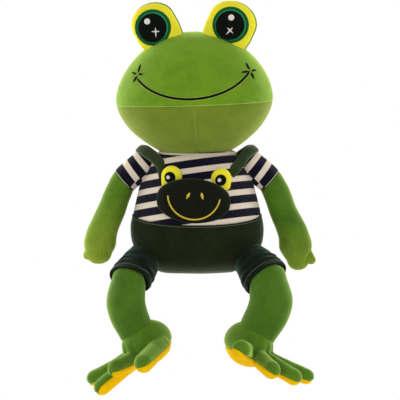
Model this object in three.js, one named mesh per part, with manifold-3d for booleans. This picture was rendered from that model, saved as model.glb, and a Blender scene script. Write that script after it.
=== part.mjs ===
// A stuffed frog in a striped shirt and bib shorts, seated on an edge with its legs hanging down in front.
// Millimetres. +Z is up, the frog looks along -Y, and its own left side is +X.
// The origin is the middle of the flat seat under the shorts.
import * as THREE from "three";
import Module from "manifold-3d";
import { mergeVertices } from "three/addons/utils/BufferGeometryUtils.js";

const wasm = await Module();
wasm.setup();

// Cloth and sewing
const cloth = 2.2; // short-pile plush, pile included
const sewn = 0.3; // gap that stands for a seam between two pieces
const thread = 1.2; // how far embroidery stands up
const overrun = 6; // how far a cutter runs past what it cuts
const halfSpace = 1200; // side of the block that cuts everything beyond a plane
const insideShare = 0.6; // how many facets an inner surface has for each one outside
const ballFacets = [12, 8]; // around and over

// Torso: shirt above, shorts below, one stuffed form
const torsoHeight = 181;
const torsoHalfWidth = 100;
const torsoHalfDepth = 80;
const torsoBelly = 5; // how far the belly leans forward
const torsoSides = 20;
const waistHeight = 88; // height of the waist seam at the sides
const waistDip = 9; // how far the waist seam drops at the belly
// height, half width, half depth, lean forward
const torsoShares = [
  [0, 0.56, 0.38, 0.4],
  [0.04, 0.7, 0.63, 0.7],
  [0.12, 0.85, 0.85, 1],
  [0.24, 0.97, 0.97, 1],
  [0.37, 1, 1, 1],
  [0.51, 0.95, 0.96, 0.8],
  [0.65, 0.89, 0.9, 0.6],
  [0.76, 0.83, 0.84, 0.4],
  [0.86, 0.75, 0.75, 0.2],
  [0.94, 0.66, 0.66, 0],
  [1, 0.54, 0.54, 0],
];

// Head: crown above the cheek seam, jaw below it
const headHeight = 178;
const headHalfWidth = 116;
const headHalfDepth = 92;
const headForward = 12; // how far the snout leans forward
const headSides = 24;
const headTurn = -3; // degrees, to the frog's right
const headTilt = -2; // degrees, towards the frog's right shoulder
const cheekSeamHeight = 73; // above the neck
const headShares = [
  [0, 0.45, 0.46, 0.1],
  [0.055, 0.585, 0.6, 0.35],
  [0.125, 0.72, 0.735, 0.65],
  [0.207, 0.845, 0.85, 0.9],
  [0.308, 0.948, 0.95, 1],
  [0.409, 1, 1, 1],
  [0.51, 0.992, 0.985, 0.9],
  [0.612, 0.937, 0.92, 0.75],
  [0.713, 0.845, 0.83, 0.55],
  [0.814, 0.71, 0.7, 0.35],
  [0.9, 0.53, 0.53, 0.2],
  [0.962, 0.33, 0.34, 0.1],
  [1, 0, 0, 0],
];

// Smile embroidered across the face, an arc of an ellipse
const smileHalfWidth = 91;
const smileDrop = 58;
const smileHeight = 140.5; // of the ellipse's middle, above the neck
const smileStroke = 3.3;
const smileEnd = 25; // degrees below level where the arc ends

// Eye pods on the crown
const podSpread = 44; // from the middle of the head
const podForward = 13; // in front of the middle of the head
const podSink = 8; // below the crown at that place
const podLean = 27.5; // degrees outwards
const podHalfWidth = 35.5;
const podSeatHalfWidth = 32; // where it meets the head
const podHalfDepth = 14;
const podBase = 34; // length of the straight part above its seat
const podCap = 30; // length of the round top
const podRoot = 18; // length buried in the head before it is cut
const podSides = 14;
const irisRadius = 27;
const pupilRadius = 21.5;
const irisHeight = 29; // along the pod
const irisSides = 18;

// Arms: striped sleeve, then a green mitten arm with one small finger
const shoulderHeight = 160;
const shoulderStand = 8; // how far the middle of the shoulder stands out from the torso
const shoulderRadius = 21;
const armpitDrop = 32; // below the shoulder, where the arm comes clear of the torso
const armLength = { right: 158, left: 164 };
const armForward = 6; // how far the hand hangs forward
const sleeveLength = 36; // from the shoulder down the arm
const armSides = 10;
// outwards, downwards, half width and half depth, as shares of the arm's length and of the shoulder's radius
const armShares = [
  [0, 0, 1, 1],
  [0.19, 0.165, 0.93, 0.93],
  [0.295, 0.415, 0.98, 0.96],
  [0.385, 0.62, 1.06, 0.95],
  [0.417, 0.75, 1.15, 0.85],
  [0.43, 0.83, 0.98, 0.72],
];
const fingerSides = 6;
const fingerRadius = 7.5;
const fingerStand = 2.5; // how far it stands out past the side of the hand
const fingerLength = 20;

// Legs: short trouser leg, shin and foot
const hipAround = 20; // degrees from the side towards the front
const hipHeight = 24;
const hipSink = 5; // how far the middle of the hip lies under the torso's surface
const hipRadius = 22;
const hipNeck = 25; // half width of the trouser leg where it leaves the hip
// Degrees forwards at which a part of the leg has to clear the one above it
const hipSwing = [-15, 10, 35];
const kneeBack = 15; // degrees backwards
const ankleSwing = [-15, 0, 15];
const legFullness = { right: 0.98, left: 1.1 }; // the left leg is stuffed fuller than the right
const kneeOut = { right: 22, left: 26 }; // from the hip
const kneeForward = 67;
const kneeDrop = 23;
const kneeRadius = 25.5;
const cuffFlare = 1.6; // how much wider the trouser leg is than the knee at its mouth
const cuffShort = 5; // how far the mouth stops before the middle of the knee
const cuffTurn = 0.25; // how far the mouth turns from square to the thigh towards square to the shin
const fillingShort = 9; // how far the trouser leg's filling stops before its mouth
const calfOut = 5; // bow of the shin
const calfRadius = 29;
const ankleIn = { right: 8.5, left: 12.5 }; // from the knee
const ankleBack = 4;
const ankleDrop = 75; // from the knee
const ankleRadius = 26.5;
const legSides = 12;
const stuffingHole = 15; // radius of the opening that the shin was filled through

// Feet
const footTurn = { right: 44.3, left: 33 }; // degrees outwards
const footDrop = { right: 21.3, left: 9 }; // degrees, toes down
const footRoll = { right: 19.2, left: 20 }; // degrees, top leaning outwards
const ankleHeight = 50; // of the ankle above the sole
const instepHalfWidth = 34.6;
const instepHalfLength = 40.2;
const instepHalfHeight = 32.6;
const instepHeight = 25.2; // of its middle above the sole
const instepAside = 4.2; // its middle lies to the inner side of the ankle
const instepBack = 3.6;
const footSeamHeight = 10; // where the yellow sole meets the green top
const seamReach = 140; // how far out the seam's surface runs, past the longest toe
const seamSpread = 15; // degrees past the outermost toes at which the seam still follows them
const seamLevel = 45; // degrees past the outermost toes at which it is level again
const seamBehind = 150; // degrees
const toeReach = 92; // from under the ankle to the middle of a toe's tip
const toeRadius = 13.3;
const toeWidthShares = [0.88, 0.92, 0.98, 1.05]; // the outer toe first
const toeRootRadius = 13.5;
const toeRootReach = 24;
const toeRootHeight = 15;
// Soft toes fan, stretch and bend a little differently on each foot
const toeFans = { right: [-44.5, -5, 11, 47], left: [-36, -10.5, 11, 48] }; // degrees, positive to the inner side
const toeReachShares = { right: [0.96, 1.03, 0.79, 1.02], left: [1, 1.02, 0.89, 0.88] };
const toeLiftShares = { right: [0.08, -0.38, 0.7, 0.26], left: [0.12, -0.16, -0.27, 0.63] }; // of the toe's radius
const toeSides = 8;
const footFacets = [14, 8]; // of the instep, around and over

// Frog-face bib on the chest, with its own eyes, smile and shoulder straps
const bibHalfWidth = 56;
const bibHalfHeight = 33;
const bibThickness = 15;
const bibHeight = 114; // of its middle
const bibTilt = 4.5; // degrees, its left side lower
const bibAside = -5; // its middle sits a little to the frog's right
const bibFacets = [18, 8]; // around and over
const bibEyeRadius = 16;
const bibEyeFacets = [12, 6];
const bibEyeThickness = 6.5;
const bibEyeSpread = 38;
const bibEyeRise = 34;
const bibPupilRadius = 8;
const bibPupilSides = 10;
const bibSmileHeight = 10; // of the ellipse's middle, above the bib's
const bibSmileHalfWidth = 38;
const bibSmileDrop = 36;
const bibSmileStroke = 2.4;
const bibSmileEnd = 6; // degrees below level where the arc ends
const strapWidth = 16;
const strapThickness = 7.5;
const strapSteps = 14;
// Along one strap, from under the bib's eye over the shoulder to the back of the waist:
// shares of the shoulder's spread, of the torso's half depth and of the height of the strap's top
const strapShares = [
  [0.62, -0.6, 0.78],
  [0.66, -0.5, 0.86],
  [0.75, -0.36, 0.925],
  [0.91, -0.16, 0.985],
  [1, 0, 1],
  [0.91, 0.16, 0.985],
  [0.75, 0.4, 0.92],
  [0.63, 0.62, 0.82],
  [0.56, 0.77, 0.66],
  [0.53, 0.86, 0.5],
  [0.52, 0.88, 0.42],
];
const neckbandHeight = 9;
const neckbandThickness = 2;

const sideSign = { right: -1, left: 1 };
const up = new THREE.Vector3(0, 0, 1);
const back = new THREE.Vector3(0, 1, 0);
const vector = (x, y, z) => new THREE.Vector3(x, y, z);
const radians = THREE.MathUtils.degToRad;

// Facet count of a surface: fewer on the inside of a cloth and on its filling
const facets = (count, inset) => (inset > 0 ? Math.ceil(count * insideShare) : count);

// A closed geometry as a solid
function solid(geometry) {
  const plain = geometry.index ? geometry.toNonIndexed() : geometry.clone();
  plain.deleteAttribute("normal");
  plain.deleteAttribute("uv");
  const merged = mergeVertices(plain, 1e-4);
  return new wasm.Manifold(
    new wasm.Mesh({
      numProp: 3,
      vertProperties: merged.attributes.position.array,
      triVerts: new Uint32Array(merged.index.array),
    }),
  );
}

// A solid as a geometry with flat faces
function geometryOf(body) {
  const mesh = body.getMesh();
  const geometry = new THREE.BufferGeometry();
  geometry.setAttribute("position", new THREE.BufferAttribute(mesh.vertProperties, mesh.numProp));
  geometry.setIndex(new THREE.BufferAttribute(mesh.triVerts, 1));
  const flat = geometry.toNonIndexed();
  flat.computeVertexNormals();
  return flat;
}

// A closed skin over a stack of rings with equal counts of points, closed by a fan to a pole at each end
function loft(rings, startPole, endPole) {
  const count = rings[0].length;
  const points = [...rings.flat(), startPole, endPole];
  const index = [];
  for (let ring = 0; ring + 1 < rings.length; ring++) {
    for (let i = 0; i < count; i++) {
      const a = ring * count + i;
      const b = ring * count + ((i + 1) % count);
      index.push(a, b, b + count, a, b + count, a + count);
    }
  }
  const lastRing = (rings.length - 1) * count;
  const startIndex = points.length - 2;
  const endIndex = points.length - 1;
  for (let i = 0; i < count; i++) {
    const next = (i + 1) % count;
    index.push(startIndex, next, i);
    index.push(endIndex, lastRing + i, lastRing + next);
  }
  const geometry = new THREE.BufferGeometry().setFromPoints(points);
  geometry.setIndex(index);
  return solid(geometry);
}

// A stuffed form of level rings; an open end runs past its last ring, for cutting the mouth of a skin
function tower(size, inset = 0, open = {}) {
  const { height, halfWidth, halfDepth, forward } = size;
  const sides = facets(size.sides, inset);
  const topmost = size.shares.length - 1;
  const shares = inset > 0 ? size.shares.filter((_, i) => i % 2 === 0 || i === topmost) : size.shares;
  const low = open.bottom ? 0 : inset;
  const high = height - (open.top ? 0 : inset);
  const level = (share) => low + (high - low) * share;
  const rows = shares.map(([z, w, d, f]) => ({
    z: level(z),
    w: w * halfWidth - inset,
    d: d * halfDepth - inset,
    y: -f * forward,
  }));
  const first = rows[0];
  const last = rows[rows.length - 1];
  const rings = rows.filter((row) => row.w > 0 && row.d > 0);
  if (open.bottom) rings.unshift({ ...first, z: first.z - overrun });
  if (open.top) rings.push({ ...last, z: last.z + overrun });
  const ring = ({ z, w, d, y }) =>
    Array.from({ length: sides }, (_, i) => {
      const angle = (i / sides) * 2 * Math.PI;
      return vector(w * Math.cos(angle), y + d * Math.sin(angle), z);
    });
  const lowest = rings[0];
  const highest = rings[rings.length - 1];
  return loft(
    rings.map(ring),
    vector(0, lowest.y, lowest.z),
    vector(0, highest.y, open.top ? highest.z : Math.max(highest.z, last.z)),
  );
}

// Half width, half depth and lean of a tower at a height above its base
function towerAt(size, z) {
  const share = THREE.MathUtils.clamp(z / size.height, 0, 1);
  const next = Math.max(1, size.shares.findIndex((row) => row[0] >= share));
  const [low, high] = [size.shares[next - 1], size.shares[next]];
  const t = (share - low[0]) / (high[0] - low[0]);
  const mix = (column) => low[column] + (high[column] - low[column]) * t;
  return { halfWidth: mix(1) * size.halfWidth, halfDepth: mix(2) * size.halfDepth, y: -mix(3) * size.forward };
}

// A stuffed limb along a curved spine, with a round cap at each end
function limb(rows, outerSides, inset = 0, across = back, stepsPerRow = 2) {
  const sides = facets(outerSides, inset);
  const spine = new THREE.CatmullRomCurve3(rows.map((row) => row.at), false, "centripetal");
  const sizes = new THREE.CatmullRomCurve3(rows.map((row) => vector(row.width, row.depth, 0)));
  const steps = (rows.length - 1) * stepsPerRow;
  const rings = [];
  const ringAt = (centre, along, width, depth) => {
    const u = new THREE.Vector3().crossVectors(across, along).normalize();
    const v = new THREE.Vector3().crossVectors(along, u);
    return Array.from({ length: sides }, (_, i) => {
      const angle = (i / sides) * 2 * Math.PI;
      return centre
        .clone()
        .addScaledVector(u, width * Math.cos(angle))
        .addScaledVector(v, depth * Math.sin(angle));
    });
  };
  const capAngles = (inset > 0 ? [45] : [60, 30]).map(radians);
  const end = (t, sign, capLength) => {
    const centre = spine.getPoint(t);
    const along = spine.getTangent(t);
    const size = sizes.getPoint(t);
    const reach = (capLength ?? (size.x + size.y) / 2) - inset;
    const ring = (angle) =>
      ringAt(
        centre.clone().addScaledVector(along, sign * reach * Math.sin(angle)),
        along,
        (size.x - inset) * Math.cos(angle),
        (size.y - inset) * Math.cos(angle),
      );
    return { rings: capAngles.map(ring), pole: centre.clone().addScaledVector(along, sign * reach) };
  };
  const start = end(0, -1, rows[0].cap);
  const finish = end(1, 1, rows[rows.length - 1].cap);
  rings.push(...start.rings);
  for (let i = 0; i <= steps; i++) {
    const size = sizes.getPoint(i / steps);
    rings.push(ringAt(spine.getPoint(i / steps), spine.getTangent(i / steps), size.x - inset, size.y - inset));
  }
  rings.push(...finish.rings.reverse());
  return loft(rings, start.pole, finish.pole);
}

// A squashed ball, its poles up and down
function ball(centre, halfWidth, halfDepth, halfHeight, [around, over] = ballFacets) {
  const geometry = new THREE.SphereGeometry(1, around, over)
    .rotateX(Math.PI / 2)
    .scale(halfWidth, halfDepth, halfHeight)
    .translate(centre.x, centre.y, centre.z);
  return solid(geometry);
}

// Room for a ball to turn in: its flat facets all lie outside the stated radius, and their middles face
// the corners of the ball
function ballRoom(centre, radius) {
  const around = ballFacets[0];
  const over = ballFacets[1] + 1;
  const outer = radius / (Math.cos(Math.PI / around) * Math.cos(Math.PI / (2 * over)));
  const geometry = new THREE.SphereGeometry(outer, around, over)
    .rotateY(Math.PI / around)
    .rotateX(Math.PI / 2)
    .translate(centre.x, centre.y, centre.z);
  return solid(geometry);
}

// Everything on the side of a plane that its normal points to
function beyond(point, normal) {
  const turn = new THREE.Quaternion().setFromUnitVectors(up, normal.clone().normalize());
  const geometry = new THREE.BoxGeometry(halfSpace, halfSpace, halfSpace)
    .translate(0, 0, halfSpace / 2)
    .applyQuaternion(turn)
    .translate(point.x, point.y, point.z);
  return solid(geometry);
}

// A round bar between two points
function bar(from, to, radius, sides = 24) {
  const length = from.distanceTo(to);
  const along = to.clone().sub(from).normalize();
  const turn = new THREE.Quaternion().setFromUnitVectors(back, along);
  const middle = from.clone().add(to).multiplyScalar(1 / 2);
  const geometry = new THREE.CylinderGeometry(radius, radius, length, sides)
    .applyQuaternion(turn)
    .translate(middle.x, middle.y, middle.z);
  return solid(geometry);
}

// The largest of the pieces that a cut leaves
const largest = (body) =>
  body.decompose().reduce((best, piece) => (piece.volume() > best.volume() ? piece : best));

// The cloth of a form: its outside less its inside
const skinOf = (form, open) => form(0).subtract(form(cloth, open));
// The filling of a form, a seam's gap inside its cloth
const stuffingOf = (form, open) => form(cloth + sewn, open);
// A patch that lies on a form, cut out by another solid; `level` counts the patches under it
const patchOn = (form, outline, level = 0) => {
  const under = sewn + level * (sewn + thread);
  return form(-under - thread).subtract(form(-under)).intersect(outline);
};

// An arc of an ellipse as a flat band in the XZ plane, drawn through the depth from one Y to another
function bandCutter({ x, z, halfWidth, drop, stroke, end, nearY, farY }) {
  const [from, to] = [Math.PI + radians(end), 2 * Math.PI - radians(end)];
  const half = stroke / 2;
  const shape = new THREE.Shape();
  shape.absellipse(x, z, halfWidth + half, drop + half, from, to, false);
  shape.absellipse(x, z, halfWidth - half, drop - half, to, from, true);
  const geometry = new THREE.ExtrudeGeometry(shape, {
    depth: farY - nearY,
    bevelEnabled: false,
    curveSegments: 10,
  });
  return solid(geometry.rotateX(Math.PI / 2).translate(0, farY, 0));
}

const colours = {
  frogGreen: 0x63931c,
  darkGreen: 0x1f3a26,
  navy: 0x1d1b3c,
  cream: 0xe6d2bc,
  yellow: 0xe8cf1d,
  irisGreen: 0x0e6a34,
  black: 0x0c0c0c,
  white: 0xf3f1ec,
};
const plush = (name) => new THREE.MeshStandardMaterial({ color: colours[name], roughness: 0.9, metalness: 0 });

const frog = new THREE.Group();
function add(name, body, colour) {
  const mesh = new THREE.Mesh(geometryOf(body), plush(colour));
  mesh.name = name;
  frog.add(mesh);
}

// Torso
const torsoSize = {
  height: torsoHeight,
  halfWidth: torsoHalfWidth,
  halfDepth: torsoHalfDepth,
  forward: torsoBelly,
  shares: torsoShares,
  sides: torsoSides,
};
const torsoForm = (inset = 0, open = {}) => tower(torsoSize, inset, open);

const shoulderSpread = towerAt(torsoSize, shoulderHeight).halfWidth + shoulderStand;
const shoulder = (side) => vector(sideSign[side] * shoulderSpread, 0, shoulderHeight);
const armpit = towerAt(torsoSize, shoulderHeight - armpitDrop).halfWidth;

function hip(side) {
  const { halfWidth, halfDepth, y } = towerAt(torsoSize, hipHeight);
  const [across, forwards] = [Math.cos(radians(hipAround)), Math.sin(radians(hipAround))];
  const normal = vector(across / halfWidth, -forwards / halfDepth, 0).normalize();
  const surface = vector(across * halfWidth, y - forwards * halfDepth, hipHeight);
  const middle = surface.addScaledVector(normal, -hipSink);
  return middle.setX(sideSign[side] * middle.x);
}

const bothSides = (place, radius) =>
  ballRoom(place("right"), radius).add(ballRoom(place("left"), radius));

const armholes = bothSides(shoulder, shoulderRadius + sewn);
const legholes = bothSides(hip, hipRadius + sewn);
const belowNeckband = beyond(vector(0, 0, torsoHeight - neckbandHeight - sewn), up.clone().negate());
const waistNormal = vector(0, -waistDip / torsoHalfDepth, 1).normalize();
const waistPoint = (lift) => vector(0, 0, waistHeight + lift);
const aboveWaist = beyond(waistPoint(-sewn / 2), waistNormal);
const belowWaist = beyond(waistPoint(sewn / 2), waistNormal.clone().negate());

function buildTorso() {
  const cut = armholes.add(legholes);
  const skin = skinOf(torsoForm, { top: true }).subtract(cut);
  add("shirt_skin", skin.subtract(belowWaist), "navy");
  add("shorts_seat_skin", skin.subtract(aboveWaist), "darkGreen");
  add("torso_stuffing", stuffingOf(torsoForm, {}).subtract(cut), "white");

  const band = torsoForm(-sewn - neckbandThickness, { top: true })
    .subtract(torsoForm(-sewn, { top: true }))
    .subtract(beyond(vector(0, 0, torsoHeight), up))
    .subtract(beyond(vector(0, 0, torsoHeight - neckbandHeight), up.clone().negate()));
  add("neckband", band.subtract(armholes), "cream");
}

// Arms
function armForm(side) {
  const sign = sideSign[side];
  const root = shoulder(side);
  const length = armLength[side];
  const rows = armShares.map(([out, down, width, depth]) => ({
    at: vector(root.x + sign * out * length, -armForward * down, root.z - down * length),
    width: width * shoulderRadius,
    depth: depth * shoulderRadius,
  }));
  const wrist = rows[rows.length - 2];
  const outer = wrist.at.x + sign * (wrist.width - fingerRadius + fingerStand);
  const finger = [
    { at: vector(outer, wrist.at.y, wrist.at.z + fingerLength / 4), width: fingerRadius, depth: fingerRadius },
    { at: vector(outer, wrist.at.y, wrist.at.z - fingerLength), width: fingerRadius, depth: fingerRadius },
  ];
  const outwards = vector(sign, 0, 0);
  const apart = (reach, way) => beyond(outwards.clone().multiplyScalar(reach), outwards.clone().multiplyScalar(way));
  return (inset = 0) => {
    const round = shoulderRadius - inset;
    const counts = ballFacets.map((count) => facets(count, inset));
    const joint = ball(root, round, round, round, counts).intersect(apart(armpit + overrun, -1));
    return limb(rows, armSides, inset)
      .intersect(apart(armpit + sewn + inset, 1))
      .add(joint)
      .add(limb(finger, fingerSides, inset, back, 1));
  };
}

// The plane where the sleeve ends, square to the arm
function sleeveHem(side) {
  const sign = sideSign[side];
  const [, [out, down]] = armShares;
  const along = vector(sign * out, 0, -down).normalize();
  return { point: shoulder(side).addScaledVector(along, sleeveLength), along };
}

function buildArm(side) {
  const form = armForm(side);
  const { point, along } = sleeveHem(side);
  const gap = along.clone().multiplyScalar(sewn / 2);
  const pastHem = beyond(point.clone().sub(gap), along);
  const beforeHem = beyond(point.clone().add(gap), along.clone().negate());
  const skin = skinOf(form);
  add(`sleeve_${side}`, skin.subtract(pastHem), "cream");
  add(`arm_skin_${side}`, skin.subtract(beforeHem), "frogGreen");
  add(`arm_stuffing_${side}`, stuffingOf(form), "white");
}

// Legs
const knee = (side) => hip(side).add(vector(sideSign[side] * kneeOut[side], -kneeForward, -kneeDrop));
const calf = (side) =>
  knee(side).add(vector(sideSign[side] * calfOut, ankleBack / 2, -ankleDrop / 2));
const ankle = (side) => knee(side).add(vector(-sideSign[side] * ankleIn[side], ankleBack, -ankleDrop));

const moved = (body, matrix) => body.transform(matrix.toArray());

// A body in each of the places that it takes as it turns about a joint, in degrees backwards
function swept(body, { x, y, z }, angles) {
  const places = angles.map((angle) =>
    moved(
      body,
      new THREE.Matrix4()
        .makeTranslation(x, y, z)
        .multiply(new THREE.Matrix4().makeRotationX(radians(angle)))
        .multiply(new THREE.Matrix4().makeTranslation(-x, -y, -z)),
    ),
  );
  return places.reduce((sweep, place) => sweep.add(place));
}

function thighForm(side) {
  const mouth = kneeRadius * legFullness[side] + cloth + cuffFlare;
  const rows = [
    { at: hip(side), width: hipNeck, depth: hipNeck },
    { at: hip(side).lerp(knee(side), 1 / 2), width: (hipNeck + 2 * mouth) / 3, depth: (hipNeck + 2 * mouth) / 3 },
    { at: knee(side), width: mouth, depth: mouth },
  ];
  return (inset = 0) => {
    const round = hipRadius - inset;
    const counts = ballFacets.map((count) => facets(count, inset));
    return limb(rows, legSides, inset, back, 1)
      .subtract(swept(torsoForm(-sewn - inset), hip(side), hipSwing))
      .subtract(shinRoom(side, inset))
      .add(ball(hip(side), round, round, round, counts));
  };
}

// Everything below the knee that the shin reaches when it swings back under the thigh
function shinRoom(side, inset) {
  const along = calf(side).sub(knee(side)).normalize();
  along.applyAxisAngle(vector(1, 0, 0), radians(kneeBack));
  const behind = vector(0, -along.z, along.y).normalize();
  const reach = calfRadius * legFullness[side] + sewn + inset;
  const below = beyond(knee(side).addScaledVector(along, -inset), along);
  return below.intersect(beyond(knee(side).addScaledVector(behind, reach), behind.clone().negate()));
}

function shinForm(side) {
  const places = [
    [knee(side), kneeRadius],
    [calf(side), calfRadius],
    [ankle(side), ankleRadius],
  ];
  const full = legFullness[side];
  const rows = places.map(([at, radius]) => ({ at, width: radius * full, depth: radius * full }));
  return (inset = 0) => limb(rows, legSides, inset);
}

function buildThigh(side) {
  const thighAlong = knee(side).sub(hip(side)).normalize();
  const shinAlong = calf(side).sub(knee(side)).normalize();
  const mouthNormal = thighAlong.clone().lerp(shinAlong, cuffTurn).normalize();
  const pastMouth = beyond(knee(side).addScaledVector(mouthNormal, -cuffShort), mouthNormal);
  const pastFilling = beyond(knee(side).addScaledVector(mouthNormal, -cuffShort - fillingShort), mouthNormal);
  const room = ballRoom(knee(side), kneeRadius * legFullness[side] + sewn);
  const form = thighForm(side);
  add(`shorts_leg_${side}`, skinOf(form).subtract(pastMouth).subtract(room), "darkGreen");
  add(`thigh_stuffing_${side}`, stuffingOf(form).subtract(pastFilling).subtract(room), "white");
}

function buildShin(side) {
  const form = shinForm(side);
  const away = hip(side).sub(knee(side)).normalize();
  const hole = bar(knee(side), knee(side).addScaledVector(away, kneeRadius + overrun), stuffingHole, legSides);
  add(`shin_skin_${side}`, skinOf(form).subtract(hole), "frogGreen");
  add(`shin_stuffing_${side}`, stuffingOf(form), "white");
}

// Feet: modelled toes-forward on a level sole under the ankle, then turned
function footPlacement(side) {
  const sign = sideSign[side];
  const turn = new THREE.Euler(
    radians(footDrop[side]),
    radians(sign * footRoll[side]),
    radians(sign * footTurn[side]),
    "ZXY",
  );
  const turned = new THREE.Matrix4().makeRotationFromEuler(turn);
  const place = ankle(side);
  return new THREE.Matrix4()
    .makeTranslation(place.x, place.y, place.z)
    .multiply(turned)
    .multiply(new THREE.Matrix4().makeTranslation(0, 0, -ankleHeight));
}

const toeDirection = (side, fan) => vector(-sideSign[side] * Math.sin(radians(fan)), -Math.cos(radians(fan)), 0);
const toeLift = (side, toe) => toeRadius * toeLiftShares[side][toe];

// Everything over the seam between sole and top, which is level under the instep and rises with each toe
function overSeam(side, shift) {
  const fans = toeFans[side];
  const lastToe = fans.length - 1;
  const rises = fans.map((_, toe) => {
    const length = toeReach * toeReachShares[side][toe] - toeRootReach;
    return (toeLift(side, toe) / length) * (seamReach - toeRootReach);
  });
  const spokes = [
    [-seamBehind, 0],
    [fans[0] - seamLevel, 0],
    [fans[0] - seamSpread, rises[0]],
    ...fans.map((fan, toe) => [fan, rises[toe]]),
    [fans[lastToe] + seamSpread, rises[lastToe]],
    [fans[lastToe] + seamLevel, 0],
    [seamBehind, 0],
  ];
  if (sideSign[side] > 0) spokes.reverse();
  const level = footSeamHeight + shift;
  const top = instepHeight + 2 * instepHalfHeight;
  const ring = (reach, height) =>
    spokes.map(([fan, rise]) => toeDirection(side, fan).multiplyScalar(reach).setZ(height(rise)));
  const rings = [
    ring(toeRootReach, () => level),
    ring(seamReach, (rise) => level + rise),
    ring(seamReach, () => top),
  ];
  return loft(rings, vector(0, 0, level), vector(0, 0, top));
}

function footForm(side) {
  const sign = sideSign[side];
  const middle = vector(-sign * instepAside, instepBack, instepHeight);
  return (inset = 0) => {
    const instep = ball(
      middle,
      instepHalfWidth - inset,
      instepHalfLength - inset,
      instepHalfHeight - inset,
      footFacets.map((count) => facets(count, inset)),
    );
    return toeFans[side].reduce((form, fan, toe) => {
      const direction = toeDirection(side, fan);
      const root = direction.clone().multiplyScalar(toeRootReach).setZ(toeRootHeight);
      const tip = direction.clone().multiplyScalar(toeReach * toeReachShares[side][toe]);
      tip.setZ(toeRadius + toeLift(side, toe));
      const radius = toeRadius * toeWidthShares[toe];
      const rows = [
        { at: root, width: toeRootRadius, depth: toeRootRadius },
        { at: root.clone().lerp(tip, 1 / 2), width: radius, depth: radius },
        { at: tip, width: radius, depth: radius },
      ];
      return form.add(limb(rows, toeSides, inset, up, 1));
    }, instep);
  };
}

function buildFoot(side) {
  const form = footForm(side);
  const place = footPlacement(side);
  const room = ballRoom(ankle(side), ankleRadius * legFullness[side] + sewn);
  const shin = swept(shinForm(side)(-2 * sewn), ankle(side), ankleSwing);
  const placed = (body) => moved(body, place).subtract(room).subtract(shin);
  const skin = skinOf(form);
  add(`foot_skin_${side}`, placed(skin.intersect(overSeam(side, sewn / 2))), "frogGreen");
  add(`foot_stuffing_${side}`, placed(stuffingOf(form)), "white");
  add(`foot_sole_${side}`, placed(skin.subtract(overSeam(side, -sewn / 2))), "yellow");
}

// Head, built upright on the neck's middle, then turned and tilted there
const headSize = {
  height: headHeight,
  halfWidth: headHalfWidth,
  halfDepth: headHalfDepth,
  forward: headForward,
  shares: headShares,
  sides: headSides,
};
const headUpright = (inset = 0, open = {}) => tower(headSize, inset, open);
const neck = vector(0, 0, torsoHeight + sewn);
const headPlacement = new THREE.Matrix4()
  .makeTranslation(neck.x, neck.y, neck.z)
  .multiply(new THREE.Matrix4().makeRotationY(radians(headTilt)))
  .multiply(new THREE.Matrix4().makeRotationZ(radians(headTurn)));
const belowNeck = beyond(neck, up.clone().negate());
const onHead = (body) => moved(body, headPlacement).subtract(belowNeck);

function buildHead() {
  const seamAt = (lift) => vector(0, 0, cheekSeamHeight + lift);
  const aboveSeam = beyond(seamAt(-sewn / 2), up);
  const belowSeam = beyond(seamAt(sewn / 2), up.clone().negate());
  const skin = headUpright(0, { bottom: true }).subtract(headUpright(cloth, { bottom: true }));
  add("head_crown_skin", onHead(skin.subtract(belowSeam)), "frogGreen");
  add("head_jaw_skin", onHead(skin.subtract(aboveSeam)), "frogGreen");
  add("head_stuffing", onHead(headUpright(cloth + sewn, { bottom: true })), "white");
  const smile = bandCutter({
    x: 0,
    z: smileHeight,
    halfWidth: smileHalfWidth,
    drop: smileDrop,
    stroke: smileStroke,
    end: smileEnd,
    nearY: -headHalfDepth - headForward - overrun,
    farY: 0,
  });
  add("smile_embroidery", onHead(patchOn(headUpright, smile)), "black");
}

// Height of the crown above the neck at a distance from the middle of the head
function crownHeight(spread) {
  const steps = 200;
  const heights = Array.from({ length: steps }, (_, i) => headHeight * (1 - i / steps));
  return heights.find((z) => towerAt(headSize, z).halfWidth >= spread);
}

function buildEye(side) {
  const sign = sideSign[side];
  const seat = vector(sign * podSpread, -podForward, crownHeight(podSpread) - podSink);
  const along = vector(sign * Math.sin(radians(podLean)), 0, Math.cos(radians(podLean)));
  const at = (reach) => seat.clone().addScaledVector(along, reach);
  const rows = [
    { at: at(-podRoot), width: podSeatHalfWidth, depth: podHalfDepth, cap: podHalfDepth },
    { at: at(0), width: podSeatHalfWidth, depth: podHalfDepth },
    { at: at(podBase / 2), width: podHalfWidth, depth: podHalfDepth },
    { at: at(podBase), width: podHalfWidth, depth: podHalfDepth, cap: podCap },
  ];
  const form = (inset = 0) => limb(rows, podSides, inset, back, 1);
  const aboveHead = (body) => onHead(body.subtract(headUpright(-sewn)));
  const front = beyond(vector(0, -podForward - sewn / 2, 0), back.clone().negate());
  const rear = beyond(vector(0, -podForward + sewn / 2, 0), back);
  const skin = skinOf(form);
  add(`eye_front_${side}`, aboveHead(skin.intersect(front)), "yellow");
  add(`eye_back_${side}`, aboveHead(skin.intersect(rear)), "frogGreen");
  add(`eye_stuffing_${side}`, aboveHead(stuffingOf(form)), "white");
  const disc = (radius) => bar(at(irisHeight).setY(-podForward - podHalfDepth - overrun), at(irisHeight), radius, irisSides);
  add(`iris_${side}`, aboveHead(patchOn(form, disc(irisRadius))), "irisGreen");
  add(`pupil_${side}`, aboveHead(patchOn(form, disc(pupilRadius), 1)), "black");
}

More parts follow.
